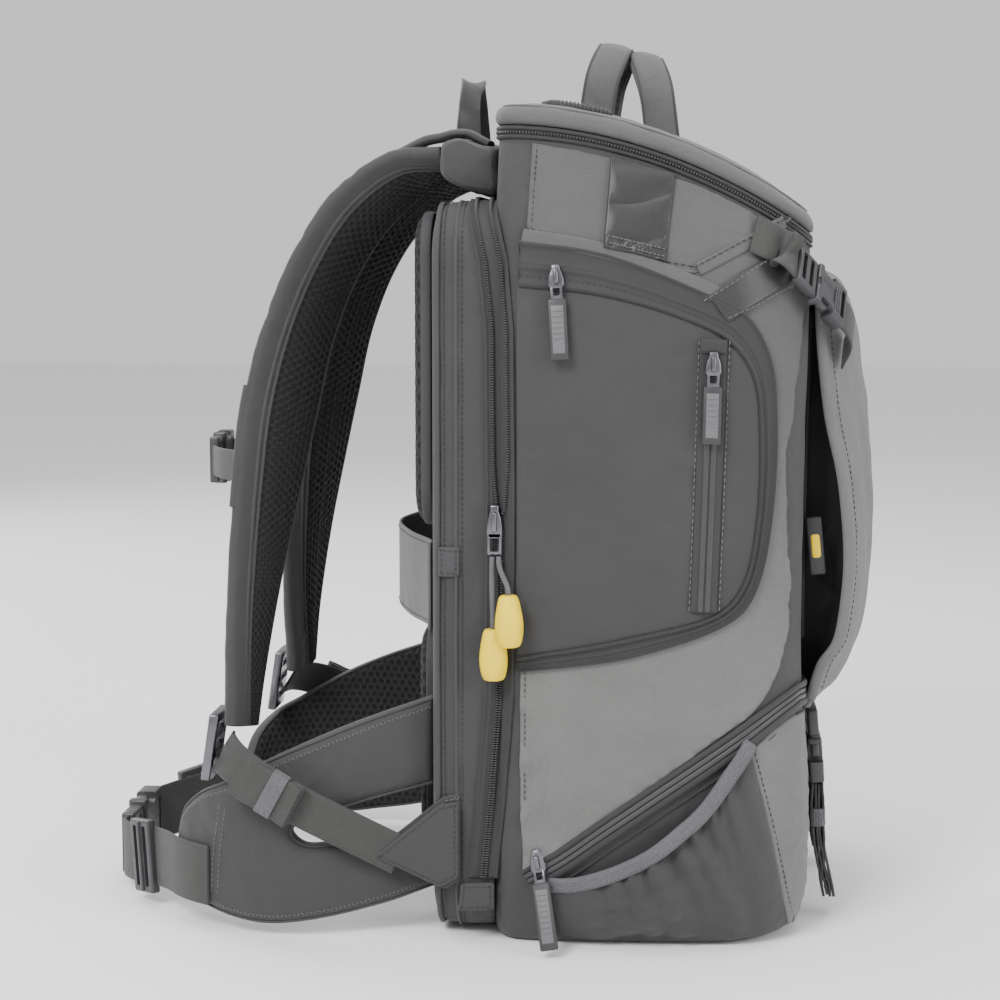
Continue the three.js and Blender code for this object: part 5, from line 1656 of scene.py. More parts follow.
def pressed(grid, depth=0.9):
    """A tube's grid with the mesh's holes pressed in."""
    du = np.linalg.norm(np.diff(grid, axis=0), axis=2).mean(axis=1)
    dv = np.linalg.norm(np.diff(grid, axis=1), axis=2).mean(axis=0)
    u, v = np.concatenate([[0], np.cumsum(du)]), np.concatenate([[0], np.cumsum(dv)])
    out = unit(np.cross(np.gradient(grid, axis=0), np.roll(grid, -1, axis=1) - np.roll(grid, 1, axis=1)))
    sign = np.sign(np.sum(out * (grid - grid.mean(axis=1, keepdims=True)), axis=2).mean())
    return grid - out * sign * (holes_at(u[:, None], v[None]) * depth)[..., None]


def swept_grid(path, outs, profile, across=None):
    along, wide, out = rails(path, outs)
    if across is not None:
        across = np.broadcast_to(np.asarray(across, float), path.shape)
        wide = unit(across - along * np.sum(across * along, axis=1, keepdims=True))
        out = np.cross(along, wide)
    return path[:, None] + wide[:, None] * profile[..., :1] + out[:, None] * profile[..., 1:2]


# Side-release buckles: a shell with a window at each side, and a plug whose prongs show in them


def side_release(long, wide, thick):
    half = long / 2
    shell = block((-0.12 * long, -wide / 2, -thick / 2), (half, wide / 2, thick / 2))
    rounded(shell, 0.16 * thick, 3)
    windows = []
    for sign in (-1, 1):
        y0, y1 = sorted((sign * 0.33 * wide, sign * wide))
        window = block((-0.045 * long, y0, -thick), (0.215 * long, y1, thick))
        windows.append(rounded(window, 0.06 * long, 4, 60))
    slot = rounded(block((0.37 * long, -0.36 * wide, -thick), (0.445 * long, 0.36 * wide, thick)), 0.8, 2)
    face = rounded(block((-0.05 * long, -0.2 * wide, 0.42 * thick), (0.3 * long, 0.2 * wide, thick)), 1.2, 3)
    dip = rounded(block((-0.14 * long, -0.1 * wide, 0.3 * thick), (-0.08 * long, 0.1 * wide, thick)), 0.5, 2)
    cut(shell, *windows, slot, face, dip)
    plug = block((-half, -0.44 * wide, -0.35 * thick), (-0.14 * long, 0.44 * wide, 0.35 * thick))
    rounded(plug, 0.12 * thick, 3)
    gaps = [
        block((x * long, -0.35 * wide, -thick), ((x + 0.075) * long, 0.35 * wide, thick))
        for x in (-0.455, -0.3)
    ]
    cut(plug, *[rounded(bar, 0.8, 2) for bar in gaps])
    pieces = [plug]
    for sign in (-1, 1):
        steps = ((0.06, 0.012, 1.3), (0.08, 0.022, 1.25), (0.07, -0.008, 0.8), (0.04, -0.06, 0.5))
        arm = drawn(
            (-0.16 * long, -0.045 * wide, -0.26 * thick),
            (-0.08 * long, 0.045 * wide, 0.26 * thick),
            [((x * long, y * wide, 0), (1, size, 1)) for x, y, size in steps],
        )
        rounded(arm, 0.1 * thick, 2)
        arm.data.transform(Matrix.Translation((0, 0.385 * wide, 0)))
        if sign < 0:
            arm.data.transform(Matrix.Diagonal((1, -1, 1, 1)))
            arm.data.flip_normals()
        pieces.append(arm)
    for x in (0.24, 0.285, 0.33):
        ridge = block((x * long, -0.3 * wide, 0.48 * thick), ((x + 0.022) * long, 0.3 * wide, 0.55 * thick))
        pieces.append(rounded(ridge, 0.2, 1))
    return joined(shell, *pieces)


def hard_pair(made, name, matrix, finish, replaced=None):
    other = copied(made)
    for piece, side in ((made, "left"), (other, "right")):
        nodes = [f"{replaced}_{side}"] if replaced else ()
        mounted(piece, f"{name}_{side}", matrix, finish, nodes, mirrored=side == "right")


FLAP_BUCKLE, FRONT_BUCKLE = (46.0, 30.0, 9.0), (46.0, 31.0, 9.0)  # long, wide and thick
CHEST_BUCKLE, BELT_BUCKLE = (44.0, 34.0, 9.0), (68.0, 46.0, 13.0)
CHEST_HEIGHT = 282.0
FRONT_BUCKLE_HEIGHT = 110.0
FRONT_SIDE = 60.0
FLAP_BUCKLE_AT = np.array([200.0, -112.0, 396.0])
FLAP_BUCKLE_ALONG = unit([0.59, 0.51, -0.62])
FLAP_BUCKLE_OUT = np.array([0.9, -0.42, 0.3])
hard_pair(
    side_release(*FLAP_BUCKLE),
    "flap_buckle",
    placement(FLAP_BUCKLE_AT, FLAP_BUCKLE_ALONG, FLAP_BUCKLE_OUT),
    PLASTIC,
    "flap_buckle",
)
FRONT_BUCKLE_X = float(front_x(FRONT_BUCKLE_HEIGHT)) + 1.5 + WEB_THICK + FRONT_BUCKLE[2] / 2
FRONT_BUCKLE_ALONG = unit([0.08, 0, -1])
hard_pair(
    side_release(*FRONT_BUCKLE),
    "front_buckle",
    placement([FRONT_BUCKLE_X, -FRONT_SIDE, FRONT_BUCKLE_HEIGHT], FRONT_BUCKLE_ALONG, FORWARD),
    PLASTIC,
    "front_buckle",
)
for strap, size, at in (
    ("chest", CHEST_BUCKLE, [-186, 0, CHEST_HEIGHT]), ("belt", BELT_BUCKLE, [-245, 0, 27])
):
    matrix = placement(at, -LEFT, -FORWARD)
    mounted(
        side_release(*size), strap + "_buckle_halves", matrix, PLASTIC, [strap + "_buckle"]
    )

# Webbing: bands with woven edges


def web(points, width, across, thick=WEB_THICK, shift=0.0, count=90, wave=0.0, seed=1, profile=None):
    line = even(points, count)
    if profile is None:
        profile = rounded_band(width, thick, 10, shift)
    if wave:
        line = line + np.stack([ripple(line, 26, seed + k) for k in range(3)], axis=1) * wave
    return sweep(line, UP, profile, across=across)


def seat(x, z, out):
    place, outs = on_skin(np.array([[x, z]], float), out)
    return place[0], outs[0]


def flap_buckle_end(sign, beyond):
    return FLAP_BUCKLE_AT + FLAP_BUCKLE_ALONG * sign * (FLAP_BUCKLE[0] / 2 + beyond)


flap_across = unit(np.cross(FLAP_BUCKLE_OUT, FLAP_BUCKLE_ALONG))
sewn_places = [
    seat(float(girth(x, z)), z, out)
    for x, z, out in ((159.0, 426.5, 4.0), (167.0, 422.5, 4.2), (174.0, 418.5, 4.6))
]
strap_points = [p for p, _ in sewn_places] + [flap_buckle_end(-1, 9), flap_buckle_end(-1, 0.6)]
side_across = unit(np.cross(sewn_places[1][1], strap_points[2] - strap_points[0]))
strap_across = even(
    np.column_stack([np.array(strap_points), np.array([side_across] * 3 + [flap_across] * 2)]), 90
)[:, 3:]
build_pair("flap_strap_web", [web(strap_points, WEB, strap_across)], WEBBING, ["flap_strap"])
tab_end = flap_buckle_end(1, 7)
tab_points = [flap_buckle_end(1, 0.6), tab_end, tab_end + [4, 9, -9], tab_end + [0, 24, -22]]
build_pair("flap_tab_web", [web(tab_points, WEB, flap_across)], WEBBING, ["flap_tab"])

front_heights = [133, 115, 92, 70, 40]
front_points = [(float(front_x(z)) + WEB_THICK, -FRONT_SIDE, z) for z in front_heights]
front_web = [web(front_points, WEB, (0, 1, 0))]
build_pair("front_strap_web", front_web, WEBBING, ["front_strap"])


TAIL_THICK = 8.4


def folded(points, width, thick, across, layers, seed, keeper_at, keeper=12.0):
    """A webbing end that is folded up, and the elastic keeper round it."""
    made = []
    gap = thick / layers
    for k in range(layers):
        shift = (k - (layers - 1) / 2) * gap
        made.append(web(points, width, across, gap * 0.82, shift, 50, 0.5, seed + 5 * k))
    line = even(points, 80)
    run = lengths(line)
    at = keeper_at * run[-1]
    part = line[(run > at - keeper / 2) & (run < at + keeper / 2)]
    around = padded_profile(width + 2.6, thick + 2.2, 4.0, 40)
    made.append(sweep(part, UP, around, across=across, finish=1))
    return made


front_start = np.array([FRONT_BUCKLE_X, -FRONT_SIDE, FRONT_BUCKLE_HEIGHT])
front_start += FRONT_BUCKLE_ALONG * (FRONT_BUCKLE[0] / 2 + 0.6)
front_tail_points = [
    front_start, (front_start[0] + 1, -FRONT_SIDE, 55), (front_start[0] + 8, -FRONT_SIDE, 14)
]
front_tail = folded(front_tail_points, 24.0, TAIL_THICK, (0, 1, 0), 4, 71, 0.3)
build_pair("front_tail_web", front_tail, [WEBBING, KEEPER], ["front_tail"])

# Back: two mesh pads, the lumbar pad and the trolley sleeve


BACK_PAD = 11.6


def on_back(base, pad):
    def place(flat, out):
        return np.column_stack([base - pad / 2 - out, flat])

    return place


def mesh_puff(flat, away, side):
    return -0.9 * holes_at(
        flat[:, 0], flat[:, 1]
    ) * np.clip(away / 5 - 0.4, 0, 1) + 1.2 * np.clip(away / 30, 0, 1)


def mesh_pad(ys, zs, radius):
    outline = across_outline(ys, zs, radius, count=260)
    return pillow(outline, on_back(REAR_BACK - 0.3, BACK_PAD), BACK_PAD, 1.5, 9.0, puff=mesh_puff)


def pad_binding(ys, zs, radius):
    outline = across_outline(ys, zs, radius, 0.4, 300)
    path = np.column_stack([np.full(len(outline), -34.5), outline])
    return sweep(path, FORWARD, padded_profile(3.0, 6.4, 2.2), loop=True, finish=1)


# piece, its solid, across, heights and corner radius
BACK_PADS = [
    ("back_mesh_left", "back_pad_left", (-118, -13), (252, 440), 24),
    ("back_mesh_right", "back_pad_right", (13, 118), (252, 440), 24),
    ("lumbar_mesh", "lumbar_pad", (-96, 96), (50, 184), 22),
]


def back_pieces():
    for name, replaced, ys, zs, radius in BACK_PADS:
        parts = [mesh_pad(ys, zs, radius), pad_binding(ys, zs, radius)]
        build(name, parts, [MESH, BINDING], [replaced])


back_pieces()

SLEEVE_HEIGHT, SLEEVE_TALL = 215.5, 54.0
sleeve_half = [(-32.3, -124), (-32.3, -112), (-52.1, -62)]
sleeve_route = [
    (x, y, SLEEVE_HEIGHT) for x, y in sleeve_half + [(-65.3, 0)] + [(x, -y) for x, y in sleeve_half[::-1]]
]
sleeve_line = even(sleeve_route, 120)
sleeve = build(
    "trolley_sleeve",
    [sweep(sleeve_line, UP, rounded_band(SLEEVE_TALL, WEB_THICK, 26), across=UP)],
    LIGHT,
    ["luggage_sleeve"],
)
float(lengths(sleeve_line)[-1]) * MM
sleeve_outs = np.cross(unit(np.gradient(sleeve_line, axis=0)), UP)
for lift in (-24.0, 24.0):
    stitches(sleeve_line + [-1.0, 0, lift], sleeve_outs)

# Yoke, haul loop and load lifters

YOKE_EDGE = [
    (7.7, 452), (7.7, 470), (7.7, 479), (0, 482), (-14, 485), (-26, 482), (-27, 473), (-26, 464), (-16, 456),
    (-4, 452.6)
]


def yoke_parts():
    edge = even(YOKE_EDGE, count=64, closed=True)
    ys = np.concatenate(
        [[-112, -111.6, -110.4, -108.5], np.linspace(-106, 106, 110), [108.5, 110.4, 111.6, 112]]
    )
    middle = edge.mean(axis=0)
    grid = np.zeros((len(ys), len(edge), 3))
    for k, y in enumerate(ys):
        shrink = 1 - 0.16 * np.clip((abs(y) - 105) / 7, 0, 1) ** 2
        grid[k, :, 1] = y
        grid[k, :, [0, 2]] = (middle + (edge - middle) * shrink).T
    out = unit(np.stack([edge[:, 0] - middle[0], edge[:, 0] * 0, edge[:, 1] - middle[1]], axis=1))
    folds = np.sin(grid[..., 1] / 6.5 + 2.2 * np.sin(grid[..., 1] / 23) + grid[..., 0] / 7) * 0.7
    return [
        lattice(grid - out[None] * (0.7 - folds - 0.5 * ripple(grid, 16, 81))[..., None], False, True, True)
    ]


yoke = build("strap_yoke_cloth", yoke_parts(), DARK, ["strap_yoke"])
haul_half = [(-17, -41, 486.4), (-17, -36, 486.4), (-17, -27, 509), (-17, -10.8, 523.4)]
haul_points = haul_half + [(x, -y, z) for x, y, z in haul_half[::-1]]
haul_turn = np.sin(np.linspace(0, math.pi, 120)) * 1.15
haul_across = np.stack([np.cos(haul_turn), np.sin(haul_turn), haul_turn * 0], axis=1)
haul_parts = [web(haul_points, 16.0, haul_across, count=120)]
build("haul_loop_web", haul_parts, SATIN, ["haul_loop"])
lifter_points = [(2, -88, 482), (-12, -88, 488.3), (-30, -88, 486.5), (-46, -88, 480), (-60, -88, 472.3)]
lifter_tab = [
    web(lifter_points, 28.0, (0, 1, 0), profile=padded_profile(28.0, 5.6, 3.0, 36), wave=0.5, seed=33)
]
build_pair("load_lifter_web", lifter_tab, BINDING, ["load_lifter"], "webbing")

# Shoulder straps: padded cloth outside, spacer mesh towards the wearer, piping between

STRAP_ROWS = [
    (-26.2, 76, 472.4, 7.5, 60), (-52, 76, 466, 19, 64), (-80, 78, 444, 24, 66), (-101, 80, 413, 25, 66)
]
STRAP_ROWS += [
    (-119, 82, 370, 27, 66), (-131, 84, 322, 29, 66), (-139, 87, 275, 24, 64), (-146, 92, 225, 17, 60)
]
STRAP_ROWS += [(-151, 98, 175, 10, 54), (-154, 106, 124, 5, 38)]


def strap_frame(side, count):
    rows = even([(x, side * y, z, lean, width) for x, y, z, lean, width in STRAP_ROWS], count)
    path, lean, width = rows[:, :3], np.radians(rows[:, 3:4]), rows[:, 4]
    along = unit(np.gradient(path, axis=0))
    inward = unit(np.cross(along, [0, 1, 0]))
    return path, np.array([0, 1, 0]) * np.cos(lean) + inward * np.sin(lean), width


STRAP_THICK = 14.2
STRAP_MESH_THICK = 6.4
MESH_ASIDE = 7.0
MESH_BORDER = 20.0
STRAP_SEAMS = (0.13, 0.24, 0.36, 0.5)


def strap_body(side, count=260, around=56):
    """Padded cloth body with seams across its outer face."""
    path, across, width = strap_frame(side, count)
    profile = padded_profile(1, 1, 2.5, around)[None] * np.stack(
        [width, np.full(len(width), STRAP_THICK)], axis=1
    )[:, None]
    grid = swept_grid(path, UP, profile, across)
    away = unit(grid - path[:, None])
    share = np.linspace(0, 1, count)
    dent = sum(np.exp(-(((share - at) / 0.008) ** 2)) for at in STRAP_SEAMS)[:, None]
    outer = np.clip(-profile[..., 1] / 5, 0, 1)
    soft = ripple(grid, 30, 91 + side) * 0.5
    return lattice(grid + away * (soft - 1.6 * dent * outer)[..., None], False, True, True)


def strap_mesh(side, count=340, around=150):
    path, across, width = strap_frame(side, count)
    size = np.stack([width - MESH_BORDER, np.full(len(width), STRAP_MESH_THICK)], axis=1)
    profile = padded_profile(1, 1, 3.0, around)[None] * size[:, None] + [MESH_ASIDE, 6.0]
    return lattice(pressed(swept_grid(path, UP, profile, across)), False, True, True, 1)


def strap_cord(side, edge, beyond, out, radius=1.5):
    """Piping beside the mesh, and a second line beyond it."""
    path, across, width = strap_frame(side, 240)
    place = MESH_ASIDE + edge * ((width - MESH_BORDER) / 2 + beyond)
    profile = ring(radius, 8)[None] + np.stack([place, np.full(len(width), out)], axis=1)[:, None]
    return lattice(swept_grid(path, UP, profile, across), False, True, True, 2)


def strap_run(side, start, end, out_shift, count=60):
    """Places off the strap's middle line between two shares of its length."""
    path, across, _ = strap_frame(side, 240)
    out = unit(np.cross(unit(np.gradient(path, axis=0)), across))
    picks = np.linspace(start, end, count) * 239
    rows = path + out * np.interp(np.arange(240) / 239, *out_shift)[:, None]
    return [resampled(picks, np.arange(240), values) for values in (rows, out, across)]


def shoulder_strap(name, side):
    made = [strap_body(side), strap_mesh(side)]
    made.append(strap_cord(side, -1, 1.0, 6.6))
    made.append(strap_cord(side, -1, 5.2, 5.9, 1.2))
    made.append(strap_cord(side, 1, 0.6, 5.9))
    strap = build("shoulder_pad_" + name, made, [DARK, MESH, BINDING], ["shoulder_strap_" + name])
    bridge, _, across = strap_run(
        side, 0.22, 0.47,
        ([0, 0.22, 0.27, 0.33, 0.38, 0.43, 0.47, 1], [-8, -8, -10.5, -8.6, -11, -9.2, -8.2, -8])
    )
    loop, _, loop_across = strap_run(side, 0.47, 0.66, ([0, 1], [-1.6, -1.6]), 40)
    width = np.interp(np.linspace(0.47, 0.66, 40), np.linspace(0, 1, 240), strap_frame(side, 240)[2])
    size = np.stack([width + 1.6, np.full(40, 12.6)], axis=1)[:, None]
    band = lattice(
        swept_grid(loop, UP, padded_profile(1, 1, 2.6, 40)[None] * size, loop_across), False, True, True, 1
    )
    strip = sweep(bridge, UP, rounded_band(24.0, 1.8, 8), across=across)
    build("shoulder_strap_web_" + name, [strip, band], [SATIN, DARK])


shoulder_strap("left", -1)
shoulder_strap("right", 1)

CHEST_ROUTES = {
    "left": [(-148, -84), (-156, -70), (-176, -44), (-186, -22.6)],
    "right": [(-152.5, 82), (-162.5, 60), (-176, 40), (-186, 22.6)],
}
for side, chest_route in CHEST_ROUTES.items():
    chest_points = [(x, y, CHEST_HEIGHT) for x, y in chest_route]
    build("chest_web_" + side, [web(chest_points, 20.0, UP)], WEBBING, ["chest_strap_" + side])

# Hip belt

WING_PLAN = [(-20, -120), (-70, -130), (-110, -138), (-150, -133), (-180, -115), (-194, -97)]
WING_EDGE = [
    (-30.3, 147), (-61, 137), (-91, 126), (-125, 111), (-156, 94), (-174, 84), (-187, 68), (-191, 28)
]
WING_EDGE += [(-184, 20), (-170, 15), (-134, 9), (-97, 13), (-60, 21), (-30.3, 31)]
WING_VENT = [
    (-31, 95), (-60, 88), (-82, 82), (-108, 75), (-116, 66), (-108, 58), (-84, 58), (-54, 56), (-31, 54)
]
BELT_PAD = 13.0
wing_line = even([(x, y, 0) for x, y in WING_PLAN], 240)
wing_run = lengths(wing_line)
wing_side = unit(np.cross(np.gradient(wing_line, axis=0), UP)) * -1
if wing_side[100, 1] > 0:
    wing_side = -wing_side


def wing_length(x):
    return np.interp(-np.asarray(x, float), -wing_line[:, 0], wing_run)


def on_wing(flat, out):
    at = resampled(flat[:, 0], wing_run, wing_line)
    side = resampled(flat[:, 0], wing_run, wing_side)
    return at + side * np.asarray(out)[:, None] + UP * flat[:, 1:2]


def wing_flat(xz, step=2.0):
    line = even(xz, step=step)
    return np.column_stack([wing_length(line[:, 0]), line[:, 1]])


def wing_puff(flat, away, side):
    if side > 0:
        return 0.9 * np.clip(away / 18, 0, 1) + 0.5 * ripple(flat, 34, 101) * np.clip(away / 10, 0, 1)
    return -0.9 * holes_at(flat[:, 0], flat[:, 1]) * np.clip(away / 5 - 0.4, 0, 1)


def wing_tube(xz, profile, finish):
    flat = wing_flat(xz)
    path = on_wing(flat, np.zeros(len(flat)))
    side = resampled(flat[:, 0], wing_run, wing_side)
    return sweep(path, side, profile, finish=finish)


# the vent ends at the bag, so the wing is one outline that runs round its two branches
wing_outline = np.vstack([wing_flat(WING_EDGE), wing_flat(WING_VENT[::-1])[1:]])
wing = [pillow(wing_outline, on_wing, BELT_PAD - 1.6, 1.7, 5.0, finishes=(0, 1), puff=wing_puff)]
for bound_edge in (WING_EDGE, WING_VENT):
    wing.append(wing_tube(bound_edge, padded_profile(2.6, BELT_PAD * 0.62, 2.4), 2))
for wing_piece in build_pair("belt_wing", wing, [DARK, MESH, BINDING], ["hip_wing"]):
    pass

belt_seats = np.array([[wing_run[-1] - back, 35.0] for back in (42, 30, 15, 0)])
belt_sewn = on_wing(belt_seats, np.full(4, 8.4))
belt_points = list(belt_sewn) + [(-218, -76, 31), (-236, -57, 28), (-245, -42, 27), (-245, -34.9, 27)]
build_pair("belt_web", [web(belt_points, 38.0, UP, 2.0, count=120)], WEBBING, ["belt_webbing"])

# The corner where each shoulder strap ends


def ladder_lock():
    half, wide = 21.0, 16.5
    surround = rounded(block((-half, -wide, -3), (half, wide, 3)), 1.2, 3)
    slots = [
        rounded(block((s * half - 3, 4 - wide, -9), (s * half + 3, wide - 4, 9)), 1.0, 3)
        for s in (-0.62, -0.12, 0.5)
    ]
    return cut(surround, *slots)


hard_pair(
    ladder_lock(), "strap_ladder_lock", placement([-169.1, -108, 113], [-0.15, 0, -1], -FORWARD), METAL,
    "ladder_lock"
)

LOWER_ROUTE = [
    (-162.3, -113, 111), (-158.5, -126, 110.5), (-150, -139, 107), (-132, -150, 98), (-110, -153, 86)
]
LOWER_ROUTE += [(-80, -149, 70), (-48, -143, 53)]
lower_t = np.linspace(0, 1, 120)
lower_across = np.stack(
    [lower_t * 0 + 0.45, mix(0.5, 0, np.minimum(1, 4 * lower_t)), lower_t * 0 + 0.9], axis=1
)
build_pair("lower_strap_web", [web(LOWER_ROUTE, WEB, lower_across, count=120)], WEBBING, ["lower_strap"])

CORNER_TAB = [(-66, 54), (-22, 90), (-12, 92), (-12, 38), (-22, 32)]


def on_corner(flat, out):
    return np.column_stack([flat[:, 0], -140.3 - out, flat[:, 1]])


corner_loop = even(CORNER_TAB, step=2.0, closed=True, straight=True)
build_pair("corner_tab_cloth", [pillow(corner_loop, on_corner, 2.4, 3.0, 2.0)], DARK, ["corner_tab"])
tab_row = inset(corner_loop, 3.0)
tab_rows = np.column_stack([tab_row[:, 0], np.full(len(tab_row), -141.6), tab_row[:, 1]])
stitches(tab_rows, LEFT, "pale", pitch=3.4, both=True)

tail_stand = np.array([0, -6.6, 0])
tail_points = [np.array(LOWER_ROUTE[k], float) + tail_stand for k in (3, 4)]
tail_points.insert(0, np.array([-145, tail_points[0][1] + 4, 105]))
tail = folded(tail_points, 26.0, TAIL_THICK, (0.5, 0, 0.85), 4, 111, 0.62, 11.0)
build_pair("strap_tail_web", tail, [WEBBING, KEEPER], ["strap_tail"])

# Pulls and the main slider


def slider_plate(long, wide, low, high):
    """One plate of a zip slider: narrow where the zip is closed, with two shoulders at its other end."""
    steps = [
        ((0.2 * long, 0, 0), (1, 1.5, 1)), ((0.22 * long, 0, 0), (1, 1.18, 1)),
        ((0.26 * long, 0, 0), (1, 1.05, 1))
    ]
    steps += [((0.14 * long, 0, 0), (1, 0.62, 1))]
    plate = drawn((-long / 2, -0.26 * wide, low), (-0.32 * long, 0.26 * wide, high), steps)
    return rounded(plate, 0.42 * (high - low), 3, 20)


def slider_body(long, wide, high):
    base = slider_plate(long, wide, -high / 2, -0.1 * high)
    top = slider_plate(long, wide, 0.08 * high, high / 2)
    bridge = rounded(
        block((-0.3 * long, -0.15 * wide, 0.3 * high), (0.3 * long, 0.15 * wide, 0.95 * high)), 1.0, 4
    )
    cut(bridge, block((-0.16 * long, -wide, 0.2 * high), (0.16 * long, wide, 0.68 * high)))
    stem = block((-0.1 * long, -0.12 * wide, -0.4 * high), (0.14 * long, 0.12 * wide, 0.4 * high))
    return joined(base, top, bridge, stem)


def pull_tab(long, wide, thick):
    tab = rounded(block((8, -wide / 2, -thick / 2), (8 + long, wide / 2, thick / 2)), 1.1, 3)
    tab.data.materials.append(RUBBER)
    field = rounded(
        block((12, 1.9 - wide / 2, thick / 2 - 0.4), (4 + long, wide / 2 - 1.9, thick / 2 + 0.2)), 0.3, 2
    )
    field.data.materials.append(RIBBED)
    ribs = [field]
    for k in range(int((long - 14) / 3.2)):
        x = 14 + k * 3.2
        rib = rounded(
            block((x, 2.6 - wide / 2, thick / 2 - 0.5), (x + 1.6, wide / 2 - 2.6, thick / 2 + 0.7)), 0.35, 2
        )
        rib.data.materials.append(RIBBED)
        ribs.append(rib)
    return joined(tab, *ribs)


def pull_link():
    surround = rounded(block((-2, -3.6, -0.9), (10, 3.6, 0.9)), 0.5, 2)
    return cut(surround, rounded(block((0.2, -2.0, -3), (6.2, 2.0, 3)), 0.7, 2))


def side_pull(name, place, outs, hang, long, replaced):
    flat = unit(hang - outs * (hang @ outs))
    eye = place + flat * 5 + outs * 1.5
    hard_pair(slider_body(14, 10, 5), name + "_slider", placement(place, flat, outs), METAL, None)
    hard_pair(pull_link(), name + "_link", placement(eye, hang, outs), METAL, None)
    hard_pair(pull_tab(long, 11, 3), name + "_tab", placement(eye, hang, outs), None, replaced)


door_place, door_outs = seat(46, 402, 0.9 + 2 + 2.5)
side_pull("door_pull", door_place, door_outs, unit(np.array([0.06, -0.14, -1])), 36, "door_pull")
low_place, low_outs = seat(36, 54, 3.4)
side_pull("low_pull", low_place, low_outs, unit(np.array([0.16, -0.36, -0.92])), 40, "low_pull")


def main_slider():
    body = slider_body(20, 10, 5)
    body.data.transform(Matrix.Rotation(math.pi, 4, "Z") @ Matrix.Translation((-2, 0, 0)))
    bail = rounded(block((-18, -4.5, 0), (-4, 4.5, 2.5)), 1.1, 4)
    cut(bail, rounded(block((-15.6, -2.7, -3), (-7, 2.7, 6)), 1.0, 3))
    return joined(body, bail)


mounted(main_slider(), "rear_zip_slider", placement(SLIDER_AT, UP, LEFT), METAL, ["main_slider"])


# The upright pocket's pull, the low tab of the rear zip, a bare tag, and the corner's outer layer

pocket_place, pocket_outs = seat(137, 352, WELT_OUT + 2.6)
side_pull("pocket_pull", pocket_place, pocket_outs, unit(np.array([-0.02, -0.05, -1])), 34, None)


def on_rear_side(out_at):
    def place(flat, out):
        return np.column_stack([flat[:, 0], -out_at - out, flat[:, 1]])

    return place


def patch(name, corners, out_at, thick, finish):
    """A small sewn patch that lies flat on the bag's side."""
    loop = even(corners, step=1.5, closed=True, straight=True)
    build_pair(name, [pillow(loop, on_rear_side(out_at), thick, 2.4, 1.2)], finish)
    row = inset(loop, 2.2)
    stitches(
        np.column_stack([row[:, 0], np.full(len(row), -out_at - thick / 2 - 0.1), row[:, 1]]), LEFT, "dark",
        3.2, 2.2, 0.5, True
    )


patch("zip_end_tab", [(-13, 20), (9, 21), (9, 38), (-11, 37)], 143.6, 2.4, DARK)
patch("bare_side_tag", [(-25, 224), (-12, 224), (-12, 242), (-25, 242)], 140.3, 1.6, BINDING)
patch("corner_tab_outer", [(-64, 53), (-24, 86), (-12.5, 88), (-12.5, 41), (-24, 35)], 145.6, 1.8, DARK)

# Pull of the lid's zip: a knurled grip that lies on the lid's edge


def knurled_pull():
    grip = [(34, -88), (42, -95), (54, -98), (66, -99), (76, -97)]
    line = even([(x, y, float(rim(x)) + 23.5) for x, y in grip], 150)
    share = np.linspace(0, 1, 150)
    radius = 2.6 - 0.9 * np.abs(2 * share - 1) ** 3 + 0.45 * np.sign(np.sin(share * 120)) * (share > 0.12)
    return sweep(line, UP, ring(1, 12)[None] * radius[:, None, None])


build("lid_zip_pull", [knurled_pull()], BINDING, slot="zip_tape")

# Pocket zips in the shade of the flap, with two pulls


def shaded_zip(y):
    heights = np.linspace(180, 380, 60)
    path = np.column_stack([front_x(heights) + 1.4, np.full(60, float(y)), heights])
    coils = [bars(path + [0.8, 0, 0], FORWARD, 1.5, 1.1, 4.2, 1.6, squares=0.45)]
    return [sweep(path, FORWARD, rounded_band(16.0, 1.4, 8))], coils


band_parts, coil_parts = shaded_zip(-72)
build_pair("front_pocket_zip", band_parts, TAPE)
build_pair("front_pocket_coil", coil_parts, COIL)
hidden = rounded(block((-18, -5, -2), (18, 5, 2)), 1.4, 3)
hidden.data.materials.append(RUBBER)
drop = rounded(block((-8, -3.4, -2.7), (8, 3.4, 2.7)), 2.4, 4)
drop.data.materials.append(YELLOW)
hard_pair(
    joined(hidden, drop), "front_pocket_pull", placement([202, -84, 238], [0.1, 0, -1], LEFT), None, None,
)

# Seams of the belt wing: zigzag along its bound edges, and two rows where the webbing is sewn on


def wing_row(xz, out, inwards):
    flat = wing_flat(xz)
    ahead = unit(np.gradient(flat, axis=0))
    flat = flat + np.stack([ahead[:, 1], -ahead[:, 0]], axis=1) * inwards
    side = resampled(flat[:, 0], wing_run, wing_side)
    return on_wing(flat, np.full(len(flat), out)), side


edge_row, edge_side = wing_row(WING_EDGE, 5.8, 4.2)
stitches(edge_row, edge_side, "pale", 2.6, 2.1, 0.5, True, 0.8)
for seam_x in (-160, -164):
    seam_row, seam_side = wing_row([(seam_x, 24), (seam_x + 2, 50), (seam_x + 6, 80)], 6.9, 0.0)
    stitches(seam_row, seam_side, "pale", 3.2, 2.2, 0.5, True)


# Adjusters on the belt's webbing


def adjuster(tall, wide, thick):
    surround = rounded(block((-wide / 2, -tall / 2, -thick / 2), (wide / 2, tall / 2, thick / 2)), 1.4, 4)
    slots = [
        block((x * wide - 2.1, 4 - tall / 2, -thick), (x * wide + 2.1, tall / 2 - 4, thick))
        for x in (-0.24, 0.24)
    ]
    cut(surround, *[rounded(slot, 1.2, 3) for slot in slots])
    bar = rounded(block((-1.6, 1 - tall / 2, thick * 0.1), (1.6, tall / 2 - 1, thick * 0.75)), 0.8, 3)
    return joined(surround, bar)


